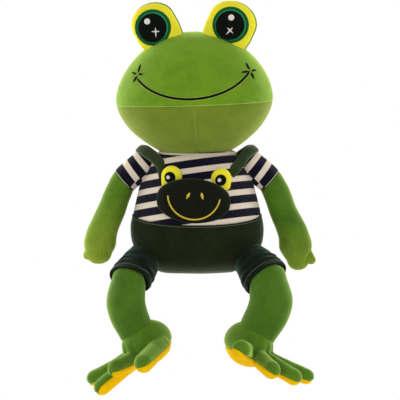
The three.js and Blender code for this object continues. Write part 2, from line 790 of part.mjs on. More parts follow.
// Straps, each running over the top of a sleeve
function strapForm(side) {
  const top = shoulderHeight + shoulderRadius + sewn + strapThickness / 2;
  const points = strapShares.map(([x, y, z]) =>
    vector(sideSign[side] * x * shoulderSpread, y * torsoHalfDepth, z * top),
  );
  const shape = new THREE.Shape();
  shape.absellipse(0, 0, strapWidth / 2, strapThickness / 2, 0, 2 * Math.PI, false);
  const geometry = new THREE.ExtrudeGeometry(shape, {
    steps: strapSteps,
    curveSegments: 3,
    bevelEnabled: false,
    extrudePath: new THREE.CatmullRomCurve3(points, false, "centripetal"),
  });
  return solid(geometry);
}

// Bib, built upright on the belly and tilted there
const belly = towerAt(torsoSize, bibHeight);
const bibMiddle = vector(bibAside, belly.y - belly.halfDepth - bibThickness / 4, bibHeight);
const onBib = new THREE.Matrix4()
  .makeTranslation(bibMiddle.x, bibMiddle.y, bibMiddle.z)
  .multiply(new THREE.Matrix4().makeRotationY(radians(bibTilt)));
const bibFace = (inset = 0) => {
  const counts = bibFacets.map((count) => facets(count, inset));
  return ball(vector(0, 0, 0), bibHalfWidth - inset, bibThickness - inset, bibHalfHeight - inset, counts);
};
const offTorso = (body) => moved(body, onBib).subtract(torsoForm(-sewn));

// One eye pad of the bib, lying on the chest above the face
function bibEye(side) {
  const chest = towerAt(torsoSize, bibHeight + bibEyeRise);
  const lie = (chest.halfDepth - chest.y) * Math.sqrt(1 - (bibEyeSpread / chest.halfWidth) ** 2);
  const at = vector(sideSign[side] * bibEyeSpread, -lie - bibEyeThickness / 2 - bibMiddle.y, bibEyeRise);
  const form = (inset = 0) =>
    ball(at, bibEyeRadius - inset, bibEyeThickness - inset, bibEyeRadius - inset, bibEyeFacets);
  return { at, form };
}

function buildBib() {
  add("bib_skin", offTorso(skinOf(bibFace)), "darkGreen");
  add("bib_stuffing", offTorso(stuffingOf(bibFace)), "white");
  const smile = bandCutter({
    x: 0,
    z: bibSmileHeight,
    halfWidth: bibSmileHalfWidth,
    drop: bibSmileDrop,
    stroke: bibSmileStroke,
    end: bibSmileEnd,
    nearY: -bibThickness - overrun,
    farY: 0,
  });
  add("bib_smile", offTorso(patchOn(bibFace, smile)), "yellow");

  for (const side of ["right", "left"]) {
    const { at, form } = bibEye(side);
    const underEye = (body) => body.subtract(bibFace(-sewn));
    const disc = bar(at.clone().setY(at.y - bibEyeThickness - overrun), at, bibPupilRadius, bibPupilSides);
    add(`bib_eye_${side}`, offTorso(underEye(form(0))), "yellow");
    add(`bib_pupil_${side}`, offTorso(underEye(patchOn(form, disc))), "black");
    const strap = strapForm(side)
      .subtract(torsoForm(-sewn))
      .subtract(torsoForm(-sewn - neckbandThickness - sewn).subtract(belowNeckband))
      .subtract(ballRoom(shoulder(side), shoulderRadius + sewn))
      .subtract(moved(form(-sewn), onBib))
      .subtract(moved(bibFace(-sewn), onBib));
    add(`strap_${side}`, largest(strap), "darkGreen");
  }
}

buildTorso();
buildHead();
buildBib();
for (const side of ["right", "left"]) {
  buildEye(side);
  buildArm(side);
  buildThigh(side);
  buildShin(side);
  buildFoot(side);
}

export default frog;
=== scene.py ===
"""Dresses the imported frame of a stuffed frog: a striped shirt, bib shorts and a big seated body.

The sizes of the frog's pieces are millimetres and degrees, in the frame of the solids: +Z is up, the frog
looks along -Y, and its own left side is +X. Meshes, finishes and the studio are told in metres.
"""

import logging
import math
from collections.abc import Callable
from dataclasses import dataclass, replace
from enum import Enum
from typing import ClassVar

import bmesh
import bpy
import numpy as np
from mathutils import Matrix, Vector, noise


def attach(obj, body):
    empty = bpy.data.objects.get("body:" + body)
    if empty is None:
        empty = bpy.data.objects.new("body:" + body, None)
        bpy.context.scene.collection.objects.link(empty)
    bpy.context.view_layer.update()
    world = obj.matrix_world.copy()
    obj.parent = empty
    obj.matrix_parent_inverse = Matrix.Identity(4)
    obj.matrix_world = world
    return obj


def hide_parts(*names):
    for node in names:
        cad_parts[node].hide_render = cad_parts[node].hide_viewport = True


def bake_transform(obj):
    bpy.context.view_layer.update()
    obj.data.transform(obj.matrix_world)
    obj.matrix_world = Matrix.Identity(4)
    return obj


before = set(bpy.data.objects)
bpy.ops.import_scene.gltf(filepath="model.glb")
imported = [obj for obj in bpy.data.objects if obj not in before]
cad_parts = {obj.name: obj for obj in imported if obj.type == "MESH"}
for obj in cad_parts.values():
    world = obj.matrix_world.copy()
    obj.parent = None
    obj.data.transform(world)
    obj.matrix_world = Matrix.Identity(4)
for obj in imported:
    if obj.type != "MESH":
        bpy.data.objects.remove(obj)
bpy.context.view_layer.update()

MM = 0.001
SEWN = 0.4  # how far apart two sewn edges stand
STRIPE_REPEAT = 20.77  # one navy and one cream stripe together
CREAM_SHARE = 0.416  # the cream stripe's share of a repeat
STRIPE_START = 175.09  # where a cream stripe's upper edge lies on the cloth's map
AROUND = 176  # points round the head and the body
VOXEL = 1.7  # finest size kept where several forms are sewn into one skin
RELAXED = 5  # how many times such a skin is smoothed

log = logging.getLogger("frog")
Array = np.ndarray


class Side(Enum):
    """The frog's own right and left sides."""

    RIGHT = "right"
    LEFT = "left"

    @property
    def sign(self) -> int:
        """Which way this side lies along X."""
        return -1 if self is Side.RIGHT else 1


class Slot(Enum):
    """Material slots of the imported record."""

    GREEN = "green_velour"
    DARK = "dark_green_velour"
    YELLOW = "yellow_velour"
    STRIPED = "striped_jersey"
    NECKBAND = "neckband_jersey"
    IRIS = "dark_green_satin"
    BLACK = "black_satin"
    GOLD = "yellow_satin"


def unit(vectors: Array) -> Array:
    """Vectors of length one."""
    return vectors / np.maximum(np.linalg.norm(vectors, axis=-1, keepdims=True), 1e-9)


def through(rows: Array, where: Array, mirrored: bool = False) -> Array:
    """Smooth values through the rows of a table.

    Args:
        rows: a row of numbers for each station.
        where: places, counted in rows from the first.
        mirrored: whether the last row is a pole, past which the widths turn negative.

    Returns:
        A row of numbers for each place.
    """
    rows = np.asarray(rows, float)
    beyond = rows[-2] * np.array([1, -1, -1, 1]) if mirrored else 2 * rows[-1] - rows[-2]
    table = np.vstack([2 * rows[0] - rows[1], rows, beyond])
    first = np.clip(np.floor(where).astype(int), 0, len(rows) - 2)
    t = (np.asarray(where) - first)[:, None]
    a, b, c, d = (table[first + k] for k in range(4))
    return 0.5 * (2 * b + (c - a) * t + (2 * a - 5 * b + 4 * c - d) * t**2 + (3 * b - a - 3 * c + d) * t**3)


def softness(points: Array, size: float, seed: int) -> Array:
    """Slow unevenness of a stuffed surface.

    Args:
        points: places in millimetres, in any array of triples.
        size: width of one swelling.
        seed: a number that tells one piece's unevenness from another's.

    Returns:
        A value between about -1 and 1 for each place.
    """
    flat = points.reshape(-1, 3) / size + seed * 7.3
    return np.array([noise.noise(p) for p in flat]).reshape(points.shape[:-1])


def eased(share: Array) -> Array:
    """A share held between nought and one that starts and ends softly."""
    share = np.clip(share, 0, 1)
    return share * share * (3 - 2 * share)


def groove(distance: Array, width: float) -> Array:
    """Depth share of a sewn groove at a distance from its middle."""
    return np.exp(-((distance / width) ** 2))


def round_angles(count: int) -> Array:
    """Angles of points spread evenly round a ring."""
    return np.arange(count) / count * 2 * math.pi


def run_along(points: Array, closed: bool = False) -> Array:
    """Distance run at each point of a line, and back at the first point where it is closed."""
    steps = np.roll(points, -1, 0) - points if closed else np.diff(points, axis=0)
    return np.concatenate([[0], np.cumsum(np.linalg.norm(steps, axis=1))])


def grid_map(around: Array, across: Array) -> Array:
    """A cloth's map in metres, rows by points by 2, from distances round and across."""
    return np.stack(np.meshgrid(around, across), axis=-1) * MM


def ring_normals(rings: Array) -> Array:
    """Outward normals of a stack of closed rings."""
    around = np.roll(rings, -1, axis=1) - np.roll(rings, 1, axis=1)
    along = np.gradient(rings, axis=0)
    normals = unit(np.cross(around, along))
    outward = rings - rings.mean(axis=1, keepdims=True)
    facing = np.sign((normals * outward).sum(axis=(1, 2)).sum())
    return normals * facing


def map_cloth(mesh: bpy.types.Mesh, corners: list, uv: Array) -> None:
    """Gives a mesh the cloth's map, with a place of the map for each corner of each face."""
    layer = mesh.uv_layers.new(name="cloth")
    flat = np.array([uv[place] for face in corners for place in face], np.float32)
    layer.data.foreach_set("uv", flat.ravel())


def linked(name: str, data: bpy.types.ID) -> bpy.types.Object:
    """A new object of a mesh, a lamp or a camera, in the scene."""
    made = bpy.data.objects.new(name, data)
    bpy.context.scene.collection.objects.link(made)
    return made


def shell(
    name: str, rings: Array, uv: Array | None = None, poles: tuple = (None, None)
) -> bpy.types.Object:
    """A closed mesh over a stack of closed rings.

    Args:
        name: the piece's name.
        rings: rows by points by 3, in millimetres.
        uv: rows by points plus one by 2, or None.
        poles: the points that close the two ends, the ends' middles where None.

    Returns:
        The new object.
    """
    rows, count, _ = rings.shape
    ends = [
        (rings[k].mean(axis=0) if pole is None else np.asarray(pole))[None] for k, pole in zip((0, -1), poles)
    ]
    points = np.vstack([rings.reshape(-1, 3), *ends]) * MM
    faces, corners = [], []
    for row in range(rows - 1):
        for i in range(count):
            j = (i + 1) % count
            this, above = row * count, (row + 1) * count
            faces.append((this + i, this + j, above + j, above + i))
            corners.append(((row, i), (row, i + 1), (row + 1, i + 1), (row + 1, i)))
    for i in range(count):
        j = (i + 1) % count
        faces.append((rows * count, j, i))
        corners.append(((0, i), (0, i + 1), (0, i)))
        faces.append((rows * count + 1, (rows - 1) * count + i, (rows - 1) * count + j))
        corners.append(((rows - 1, i), (rows - 1, i), (rows - 1, i + 1)))
    mesh = bpy.data.meshes.new(name)
    mesh.from_pydata([tuple(p) for p in points], [], faces)
    if uv is not None:
        map_cloth(mesh, corners, uv)
    return finished(name, mesh)


def finished(name: str, mesh: bpy.types.Mesh) -> bpy.types.Object:
    """A smooth object of a mesh, with its faces turned outwards."""
    work = bmesh.new()
    work.from_mesh(mesh)
    bmesh.ops.recalc_face_normals(work, faces=work.faces)
    for face in work.faces:
        face.smooth = True
    work.to_mesh(mesh)
    work.free()
    return linked(name, mesh)


def moved(piece: bpy.types.Object, placement: Matrix) -> bpy.types.Object:
    """The piece with its mesh carried by a placement in millimetres."""
    scale = Matrix.Scale(MM, 4)
    piece.data.transform(scale @ placement @ scale.inverted())
    return piece


def vertex_places(mesh: bpy.types.Mesh) -> Array:
    """Places of a mesh's vertices in millimetres."""
    flat = np.zeros(len(mesh.vertices) * 3, np.float32)
    mesh.vertices.foreach_get("co", flat)
    return flat.reshape(-1, 3) / MM


def place_vertices(mesh: bpy.types.Mesh, places: Array) -> None:
    """Puts a mesh's vertices at places in millimetres."""
    mesh.vertices.foreach_set("co", (places * MM).astype(np.float32).ravel())
    mesh.update()


# Materials


@dataclass
class Nodes:
    """Adds nodes and links to a node tree."""

    tree: bpy.types.NodeTree

    def add(self, kind: str, inputs: dict | None = None, **settings: object) -> bpy.types.Node:
        """A new node.

        Args:
            kind: the node's type.
            inputs: a value or an output socket for each named or numbered input.
            settings: properties of the node.

        Returns:
            The node.
        """
        node = self.tree.nodes.new(kind)
        for key, value in settings.items():
            setattr(node, key, value)
        for key, value in (inputs or {}).items():
            if isinstance(value, bpy.types.NodeSocket):
                self.tree.links.new(value, node.inputs[key])
            else:
                node.inputs[key].default_value = value
        return node

    def math(self, operation: str, *values: object) -> bpy.types.NodeSocket:
        """The result of a Math node on values or sockets."""
        return self.add("ShaderNodeMath", dict(enumerate(values)), operation=operation).outputs[0]

    def mix(self, share: object, a: object, b: object) -> bpy.types.NodeSocket:
        """A colour mixed from two by a share."""
        node = self.add("ShaderNodeMix", {0: share}, data_type="RGBA")
        for socket, value in ((node.inputs[6], a), (node.inputs[7], b)):
            if isinstance(value, bpy.types.NodeSocket):
                self.tree.links.new(value, socket)
            else:
                socket.default_value = (*value, 1)
        return node.outputs[2]

    def link(self, node: bpy.types.Node, **sockets: bpy.types.NodeSocket) -> None:
        """Links sockets to the inputs of a node by name, with an underscore for a space."""
        for key, socket in sockets.items():
            self.tree.links.new(socket, node.inputs[key.replace("_", " ")])

    def noise(self, vector: object, size: object, detail: float = 2) -> bpy.types.NodeSocket:
        """Noise between 0 and 1 with swellings of a size in metres."""
        scale = self.math("DIVIDE", 1, size)
        node = self.add("ShaderNodeTexNoise", {"Vector": vector, "Scale": scale, "Detail": detail})
        return node.outputs["Fac"]


def bare_nodes(owner: bpy.types.Material | bpy.types.World) -> Nodes:
    """The emptied node tree of a material or a world."""
    owner.use_nodes = True
    owner.node_tree.nodes.clear()
    return Nodes(owner.node_tree)


def new_group(name: str, inputs: dict, outputs: tuple[str, ...]) -> tuple[Nodes, dict, bpy.types.Node]:
    """An empty shader node group.

    Args:
        name: the group's name.
        inputs: a default value for each named input, with three numbers for a vector.
        outputs: the names of its outputs, each a plain number.

    Returns:
        The group's builder, its input sockets by name, and its output node.
    """
    tree = bpy.data.node_groups.new(name, "ShaderNodeTree")
    for key, value in inputs.items():
        kind = "NodeSocketVector" if isinstance(value, tuple) else "NodeSocketFloat"
        socket = tree.interface.new_socket(key, in_out="INPUT", socket_type=kind)
        socket.default_value = value
    for key in outputs:
        tree.interface.new_socket(key, in_out="OUTPUT", socket_type="NodeSocketFloat")
    source = tree.nodes.new("NodeGroupInput")
    sink = tree.nodes.new("NodeGroupOutput")
    return Nodes(tree), {key: source.outputs[key] for key in inputs}, sink


def pile_group() -> bpy.types.NodeTree:
    """Short pile: fine tufts, and patches where the nap was stroked another way."""
    inputs = {"Vector": (0.0, 0.0, 0.0), "Tuft": 0.0009, "Patch": 0.03, "Patch Share": 0.5}
    nodes, given, sink = new_group("Pile", inputs, ("Shade", "Height"))
    tufts = nodes.noise(given["Vector"], given["Tuft"], 3)
    broad = nodes.noise(given["Vector"], given["Patch"], 2)
    middle = nodes.noise(given["Vector"], nodes.math("MULTIPLY", given["Patch"], 0.22), 2)
    patches = nodes.math("ADD", nodes.math("MULTIPLY", broad, 0.65), nodes.math("MULTIPLY", middle, 0.35))
    shade = nodes.add("ShaderNodeMix", {0: given["Patch Share"], 2: tufts, 3: patches}).outputs[0]
    nodes.link(sink, Shade=shade, Height=tufts)
    return nodes.tree


def knit_group() -> bpy.types.NodeTree:
    """Jersey stitches: columns of small V shapes, from a map in metres."""
    inputs = {"Vector": (0.0, 0.0, 0.0), "Stitch": 0.0011}
    nodes, given, sink = new_group("Knit", inputs, ("Shade", "Height", "Edge"))
    split = nodes.add("ShaderNodeSeparateXYZ", {0: given["Vector"]})
    column = nodes.math("FRACT", nodes.math("DIVIDE", split.outputs[0], given["Stitch"]))
    slope = nodes.math("ABSOLUTE", nodes.math("SUBTRACT", column, 0.5))
    lift = nodes.math("ADD", nodes.math("DIVIDE", split.outputs[1], given["Stitch"]), slope)
    waves = nodes.math("SINE", nodes.math("MULTIPLY", lift, 2 * math.pi))
    ribs = nodes.math("SINE", nodes.math("MULTIPLY", column, math.pi))
    height = nodes.math("ADD", nodes.math("MULTIPLY", waves, 0.35), ribs)
    fuzz = nodes.noise(given["Vector"], 0.004, 4)
    shade = nodes.math("ADD", nodes.math("MULTIPLY", height, 0.25), nodes.math("MULTIPLY", fuzz, 0.6))
    nodes.link(sink, Shade=shade, Height=height, Edge=slope)
    return nodes.tree


def stitch_group() -> bpy.types.NodeTree:
    """Satin stitches: threads laid side by side across a stroke, from a map in metres."""
    inputs = {"Vector": (0.0, 0.0, 0.0), "Thread": 0.0006}
    nodes, given, sink = new_group("Stitches", inputs, ("Shade", "Height"))
    split = nodes.add("ShaderNodeSeparateXYZ", {0: given["Vector"]})
    wander = nodes.math("MULTIPLY", nodes.noise(given["Vector"], 0.003, 2), 0.0006)
    along = nodes.math("ADD", split.outputs[0], wander)
    turns = nodes.math("MULTIPLY", nodes.math("DIVIDE", along, given["Thread"]), 2 * math.pi)
    ridges = nodes.math("ADD", nodes.math("MULTIPLY", nodes.math("SINE", turns), 0.5), 0.5)
    nodes.link(sink, Shade=ridges, Height=ridges)
    return nodes.tree


def hex_colour(code: str) -> tuple[float, float, float]:
    """The linear colour of a six-digit sRGB code."""
    parts = [int(code[k : k + 2], 16) / 255 for k in (0, 2, 4)]
    return tuple(c / 12.92 if c <= 0.04045 else ((c + 0.055) / 1.055) ** 2.4 for c in parts)


@dataclass(frozen=True)
class Finish:
    """What every finish shares: a name and how its surface scatters light."""

    name: str
    roughness: float = 0.9
    specular: float = 0.25

    def surface(self, nodes: Nodes) -> bpy.types.Node:
        """The material's shader, with the plain numbers set on its own sockets."""
        shader = nodes.add("ShaderNodeBsdfPrincipled", {"Specular IOR Level": self.specular})
        nodes.add("ShaderNodeOutputMaterial", {0: shader.outputs[0]})
        return shader

    def colour(self, nodes: Nodes, shader: bpy.types.Node) -> None:
        """Links the colour, roughness and relief. Each finish has its own."""
        raise NotImplementedError

    def material(self) -> bpy.types.Material:
        """The material, built once."""
        if self.name in bpy.data.materials:
            return bpy.data.materials[self.name]
        made = bpy.data.materials.new(self.name)
        nodes = bare_nodes(made)
        self.colour(nodes, self.surface(nodes))
        return made

    def cover(
        self,
        nodes: Nodes,
        shader: bpy.types.Node,
        colour: bpy.types.NodeSocket,
        group: bpy.types.Node,
        rough: tuple[float, float],
        depth: float,
    ) -> None:
        """Links a colour, and a group's shade as roughness and height as relief.

        Args:
            nodes: the material's builder.
            shader: the material's shader.
            colour: the colour.
            group: a node of the pile, the knit or the stitches.
            rough: the roughness where the shade is nought and where it is one.
            depth: the relief's depth in metres.
        """
        given = {0: group.outputs["Shade"], 3: rough[0], 4: rough[1]}
        spread = nodes.add("ShaderNodeMapRange", given).outputs[0]
        given = {"Height": group.outputs["Height"], "Distance": depth, "Strength": 0.8}
        bump = nodes.add("ShaderNodeBump", given).outputs[0]
        nodes.link(shader, Base_Color=colour, Roughness=spread, Normal=bump)


@dataclass(frozen=True)
class Velour(Finish):
    """Short-pile plush: dark where it faces the eye, bright where its pile is seen side on."""

    shade: str = "5c7d1c"
    light: str = "6f9428"
    rim: str = "b4cc60"
    sheen: float = 0.8
    sheen_roughness: float = 0.4
    patch: float = 0.03
    patch_share: float = 0.5
    tuft: float = 0.0009
    highlit_heights: tuple[float, float] | None = None  # heights between which the pile is painted paler, a painted highlight on the hands
    highlit_shade: str = "6c8614"
    highlit_light: str = "a2b43c"
    highlit_share: float = 0.75

    def colour(self, nodes: Nodes, shader: bpy.types.Node) -> None:
        """Colour, roughness and relief from the pile, and a sheen of the pile's tips."""
        place = nodes.add("ShaderNodeTexCoord").outputs["Object"]
        given = {"Vector": place, "Tuft": self.tuft, "Patch": self.patch, "Patch Share": self.patch_share}
        pile = nodes.add("ShaderNodeGroup", given, node_tree=GROUPS["pile"])
        # Half of the pile's shade is its tufts' height, so the colour is painted darker between the tufts, a
        # painted shade. The other half is random patches of tone.
        spread = nodes.add("ShaderNodeMapRange", {0: pile.outputs["Shade"], 1: 0.3, 2: 0.7})
        colour = nodes.mix(spread.outputs[0], hex_colour(self.shade), hex_colour(self.light))
        # Lower down, the colour is mixed towards paler greens: a painted highlight on the hands.
        if self.highlit_heights:
            height = nodes.add("ShaderNodeSeparateXYZ", {0: place}).outputs[2]
            high, low = self.highlit_heights
            down = nodes.add("ShaderNodeMapRange", {0: height, 1: high, 2: low, 4: self.highlit_share})
            pale = nodes.mix(
                spread.outputs[0], hex_colour(self.highlit_shade), hex_colour(self.highlit_light)
            )
            colour = nodes.mix(down.outputs[0], colour, pale)
        self.cover(nodes, shader, colour, pile, (self.roughness - 0.08, self.roughness), 0.0005)
        shader.inputs["Sheen Weight"].default_value = self.sheen
        shader.inputs["Sheen Roughness"].default_value = self.sheen_roughness
        shader.inputs["Sheen Tint"].default_value = (*hex_colour(self.rim), 1)


@dataclass(frozen=True)
class Jersey(Finish):
    """Knitted jersey, in navy and cream stripes or all cream."""

    navy: str = "0c0820"
    cream: str = "f4e4d0"
    cream_depth: float = 0.84  # how dark the cream is painted between its stitches, a painted shade
    navy_depth: float = 0.7
    striped: bool = True
    stitch: float = 0.0012
    sheen: float = 0.05

    def colour(self, nodes: Nodes, shader: bpy.types.Node) -> None:
        """Stripes along the cloth's own map, with the edge following the stitches."""
        cloth = nodes.add("ShaderNodeUVMap", uv_map="cloth").outputs[0]
        given = {"Vector": cloth, "Stitch": self.stitch}
        knit = nodes.add("ShaderNodeGroup", given, node_tree=GROUPS["knit"])
        shade = knit.outputs["Shade"]
        cream, navy = hex_colour(self.cream), hex_colour(self.navy)
        # Cream and navy are painted darker where the knit's relief is low, a painted shade between the
        # stitches, with random fuzz in the tone.
        colour = nodes.mix(shade, tuple(self.cream_depth * c for c in cream), cream)
        if self.striped:
            split = nodes.add("ShaderNodeSeparateXYZ", {0: cloth})
            ragged = nodes.math("MULTIPLY", knit.outputs["Edge"], self.stitch)
            level = nodes.math("SUBTRACT", STRIPE_START * MM, nodes.math("ADD", split.outputs[1], ragged))
            turn = nodes.math("FRACT", nodes.math("DIVIDE", level, STRIPE_REPEAT * MM))
            middle = nodes.math("ABSOLUTE", nodes.math("SUBTRACT", turn, CREAM_SHARE / 2))
            is_cream = nodes.math("LESS_THAN", middle, CREAM_SHARE / 2)
            dark = nodes.mix(shade, tuple(self.navy_depth * c for c in navy), navy)
            colour = nodes.mix(is_cream, dark, colour)
        self.cover(nodes, shader, colour, knit, (self.roughness - 0.1, self.roughness), 0.0004)
        shader.inputs["Sheen Weight"].default_value = self.sheen


@dataclass(frozen=True)
class Satin(Finish):
    """Satin-stitch embroidery thread."""

    dark: str = "0a0c0a"
    light: str = "1a1e1a"
    thread: float = 0.0007

    def colour(self, nodes: Nodes, shader: bpy.types.Node) -> None:
        """Threads side by side across the stroke."""
        cloth = nodes.add("ShaderNodeUVMap", uv_map="cloth").outputs[0]
        given = {"Vector": cloth, "Thread": self.thread}
        stitches = nodes.add("ShaderNodeGroup", given, node_tree=GROUPS["stitches"])
        # The threads are painted darker in the grooves between them and lighter on their ridges, painted
        # shade and highlight that follow the relief.
        colour = nodes.mix(stitches.outputs["Shade"], hex_colour(self.dark), hex_colour(self.light))
        self.cover(nodes, shader, colour, stitches, (self.roughness, self.roughness - 0.15), 0.0003)


GROUPS = {"pile": pile_group(), "knit": knit_group(), "stitches": stitch_group()}

# The green pieces are all one velour, given lit and shaded tones: the crown is painted lighter, and the jaw,
# shins, feet and arms darker, as painted light and shade. The left arm is darker still, a painted shade.
CROWN = Velour("crown_velour", shade="50780a", light="78a216", rim="cce46c", sheen=0.85)
JAW = Velour("jaw_velour", shade="566a14", light="788c22", rim="d0e074", sheen=0.8)
LIMB = Velour("limb_velour", shade="305208", light="4e7812", rim="c4e870", sheen=0.85)
FOOT = Velour("foot_velour", shade="345609", light="588314", rim="d0ee78", sheen=1.0)
ARM = Velour(
    "arm_right_velour",
    shade="345409",
    light="608816",
    rim="d4e870",
    sheen=0.9,
    sheen_roughness=0.38,
    highlit_heights=(0.11, 0.035),
)
ARM_LEFT = replace(ARM, name="arm_left_velour", shade="2a4a06", light="528010", highlit_heights=(0.08, 0.0))
SHORTS = Velour(
    "shorts_velour", 0.9, 0.1, shade="0a0e03", light="22290f", rim="b4cca4", sheen=0.75, sheen_roughness=0.28
)
LEGWEAR = replace(SHORTS, name="trouser_velour", shade="040b05", light="101c12", rim="98c4a4", sheen=0.6)
BIB = replace(SHORTS, name="bib_velour", shade="040702", light="161a0c", sheen=0.5, rim="b4cca0")
STRAP = Velour(
    "strap_velour", 0.9, 0.1, shade="141e0e", light="3a482c", rim="ccd8b4", sheen=0.95, sheen_roughness=0.36
)
EYE_YELLOW = Velour("eye_yellow_velour", 0.9, 0.1, shade="e4d61e", light="f4ea3e", rim="fffcb0", sheen=0.35)
SOLE = Velour("sole_velour", 0.9, 0.03, shade="dca800", light="f0c404", rim="fff070", sheen=0.08)
# A pale velour, painted as the highlight that the pile catches along a seam and round the smile.
HIGHLIGHT_VELOUR = Velour("highlight_velour", shade="86a838", light="a0bc50", rim="d8f090", sheen=0.9)
# Paler velours for the ridge of the centre seam, on the crown and on the jaw, painted as the highlight along
# the seam.
CROWN_SEAM_HIGHLIGHT = Velour(
    "crown_seam_highlight_velour", shade="6c9020", light="84ac30", rim="dcf084", sheen=1.0, sheen_roughness=0.42
)
JAW_SEAM_HIGHLIGHT = replace(CROWN_SEAM_HIGHLIGHT, name="jaw_seam_highlight_velour", shade="74862c", light="8c9e3c", rim="dcea8c")
STRIPES = Jersey("striped_jersey_cloth", 0.95, 0.1)
RIB = Jersey("neckband_rib", 0.95, 0.1, striped=False)
BLACK = Satin("black_thread", 0.8, 0.05, dark="020302", light="080a08")
PUPIL = Satin("pupil_thread", 0.8, 0.08, dark="020402", light="0c120d")
IRIS = Satin("iris_thread", 0.7, 0.15, dark="02481a", light="0c6426")
TEAL = Satin("iris_light_thread", 0.6, 0.2, dark="12804c", light="2ea874")
GOLD = Satin("gold_thread", 0.5, 0.35, dark="c8a818", light="f0d63a")
WHITE = Satin("white_thread", 0.6, 0.3, dark="ece0d8", light="fff8f4")
SEAM_THREAD = Satin("seam_thread", 0.7, 0.2, dark="303a2c", light="5c6a56", thread=0.0022)


@dataclass(frozen=True)
class Bend:
    """Two bodies that a stretch of cloth reaches between, and two places in millimetres."""

    bodies: tuple[str, str]
    start: Array
    end: Array


def dress(
    piece: bpy.types.Object,
    finish: Finish,
    body: str | Bend,
    nodes: tuple[str, ...] = (),
) -> None:
    """Gives a piece its finish and, where it rides on one, its body, and hides the solids that it stands for.

    Args:
        piece: the object, its mesh final.
        finish: the finish of its whole surface.
        body: the body that it rides on, or a Bend, for which the piece is only left in the row's frame.
        nodes: the solids that it stands for.
    """
    piece.data.materials.clear()
    piece.data.materials.append(finish.material())
    if nodes:
        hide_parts(*nodes)
    if isinstance(body, Bend):
        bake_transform(piece)
        log.info("%s bends from %s to %s", piece.name, *body.bodies)
    else:
        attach(piece, body)
        log.info("%s rides on %s, %d faces", piece.name, body, len(piece.data.polygons))


# Shapes


@dataclass(frozen=True)
class Tower:
    """A stuffed form of level oval rings.

    Each share row holds a height, a half width, a half depth and a lean forward.
    """

    height: float
    half_width: float
    half_depth: float
    forward: float
    shares: tuple
    pole: bool

    def profile(self, where: Array) -> Array:
        """Height, half width, half depth and middle at places counted in rows."""
        rows = through(self.shares, where, self.pole)
        sizes = np.array([self.height, self.half_width, self.half_depth, -self.forward])
        values = rows * sizes
        values[:, 0] = np.clip(values[:, 0], 0, self.height)
        values[:, 1:3] = np.maximum(values[:, 1:3], 0.4)
        return values

    def table(self) -> Array:
        """The profile at many places."""
        return self.profile(np.linspace(0, len(self.shares) - 1, 700))

    def at(self, z: Array) -> tuple[Array, Array, Array]:
        """Half width, half depth and middle at heights above the base."""
        table = self.table()
        return tuple(np.interp(z, table[:, 0], table[:, k]) for k in (1, 2, 3))

    def levels(self, low: float, high: float, count: int) -> Array:
        """Heights from one to another, close together where the form closes."""
        table = self.table()
        places = np.interp([low, high], table[:, 0], np.arange(len(table)))
        return np.interp(np.linspace(*places, count), np.arange(len(table)), table[:, 0])

    def rings(self, heights: Array, around: int) -> Array:
        """Points of the rings.

        Args:
            heights: the rings' heights, one each or one for each point.
            around: how many points a ring has.

        Returns:
            Rows by points by 3.
        """
        angles = round_angles(around)
        z = heights[:, None] * np.ones(around) if heights.ndim == 1 else heights
        width, depth, middle = self.at(z)
        return np.stack([width * np.cos(angles), middle + depth * np.sin(angles), z], axis=-1)

    def front(self, x: Array, z: Array) -> Array:
        """Points of the front surface at places across and above the base."""
        width, depth, middle = self.at(z)
        y = middle - depth * np.sqrt(np.maximum(1 - (x / width) ** 2, 0.0))
        return np.stack([x, y, z], axis=-1)


Surface = Callable[[Array, Array], Array]


def surface_normals(surface: Surface, x: Array, z: Array) -> Array:
    """Normals of a front surface, facing the way the frog looks."""
    step = 0.6
    across = surface(x + step, z) - surface(x - step, z)
    upwards = surface(x, z + step) - surface(x, z - step)
    normals = unit(np.cross(across, upwards))
    return normals * -np.sign(normals[..., 1:2])


def lifted(surface: Surface, height: float) -> Surface:
    """The surface that stands over another one by a height, such as the top of a patch."""

    def above(x: Array, z: Array) -> Array:
        """Points of the upper surface."""
        return surface(x, z) + surface_normals(surface, x, z) * height

    return above


def raised_band(
    name: str, surface: Surface, path: Array, halves: Array, lift: float, sunk: float = 0.5
) -> bpy.types.Object:
    """Embroidery or a strip that stands up along a path on a surface.

    Args:
        name: the piece's name.
        surface: the surface's point at a place across and up.
        path: the stroke's middle, points by 2.
        halves: the stroke's half width at each point.
        lift: how far it stands up.
        sunk: how far its edges go under the surface.

    Returns:
        The piece, in the surface's own frame.
    """
    along = unit(np.gradient(path, axis=0))
    across = np.stack([-along[:, 1], along[:, 0]], axis=-1)
    top = [(share, lift * math.sqrt(1 - abs(share) ** 2.4)) for share in np.linspace(-1, 1, 9)]
    section = [(share, rise - (sunk if abs(share) == 1 else 0)) for share, rise in top]
    section += [(share, -sunk - 0.3) for share in (0.6, -0.6)]
    rings = []
    for share, rise in section:
        place = path + across * (halves * share)[:, None]
        rings.append(lifted(surface, rise)(place[:, 0], place[:, 1]))
    wide = np.array([*(share for share, _ in section), -1])
    run = np.repeat(run_along(path)[:, None], len(wide), 1)
    uv = np.stack([run, halves[:, None] * wide], axis=-1) * MM
    return shell(name, np.stack(rings, axis=1), uv)


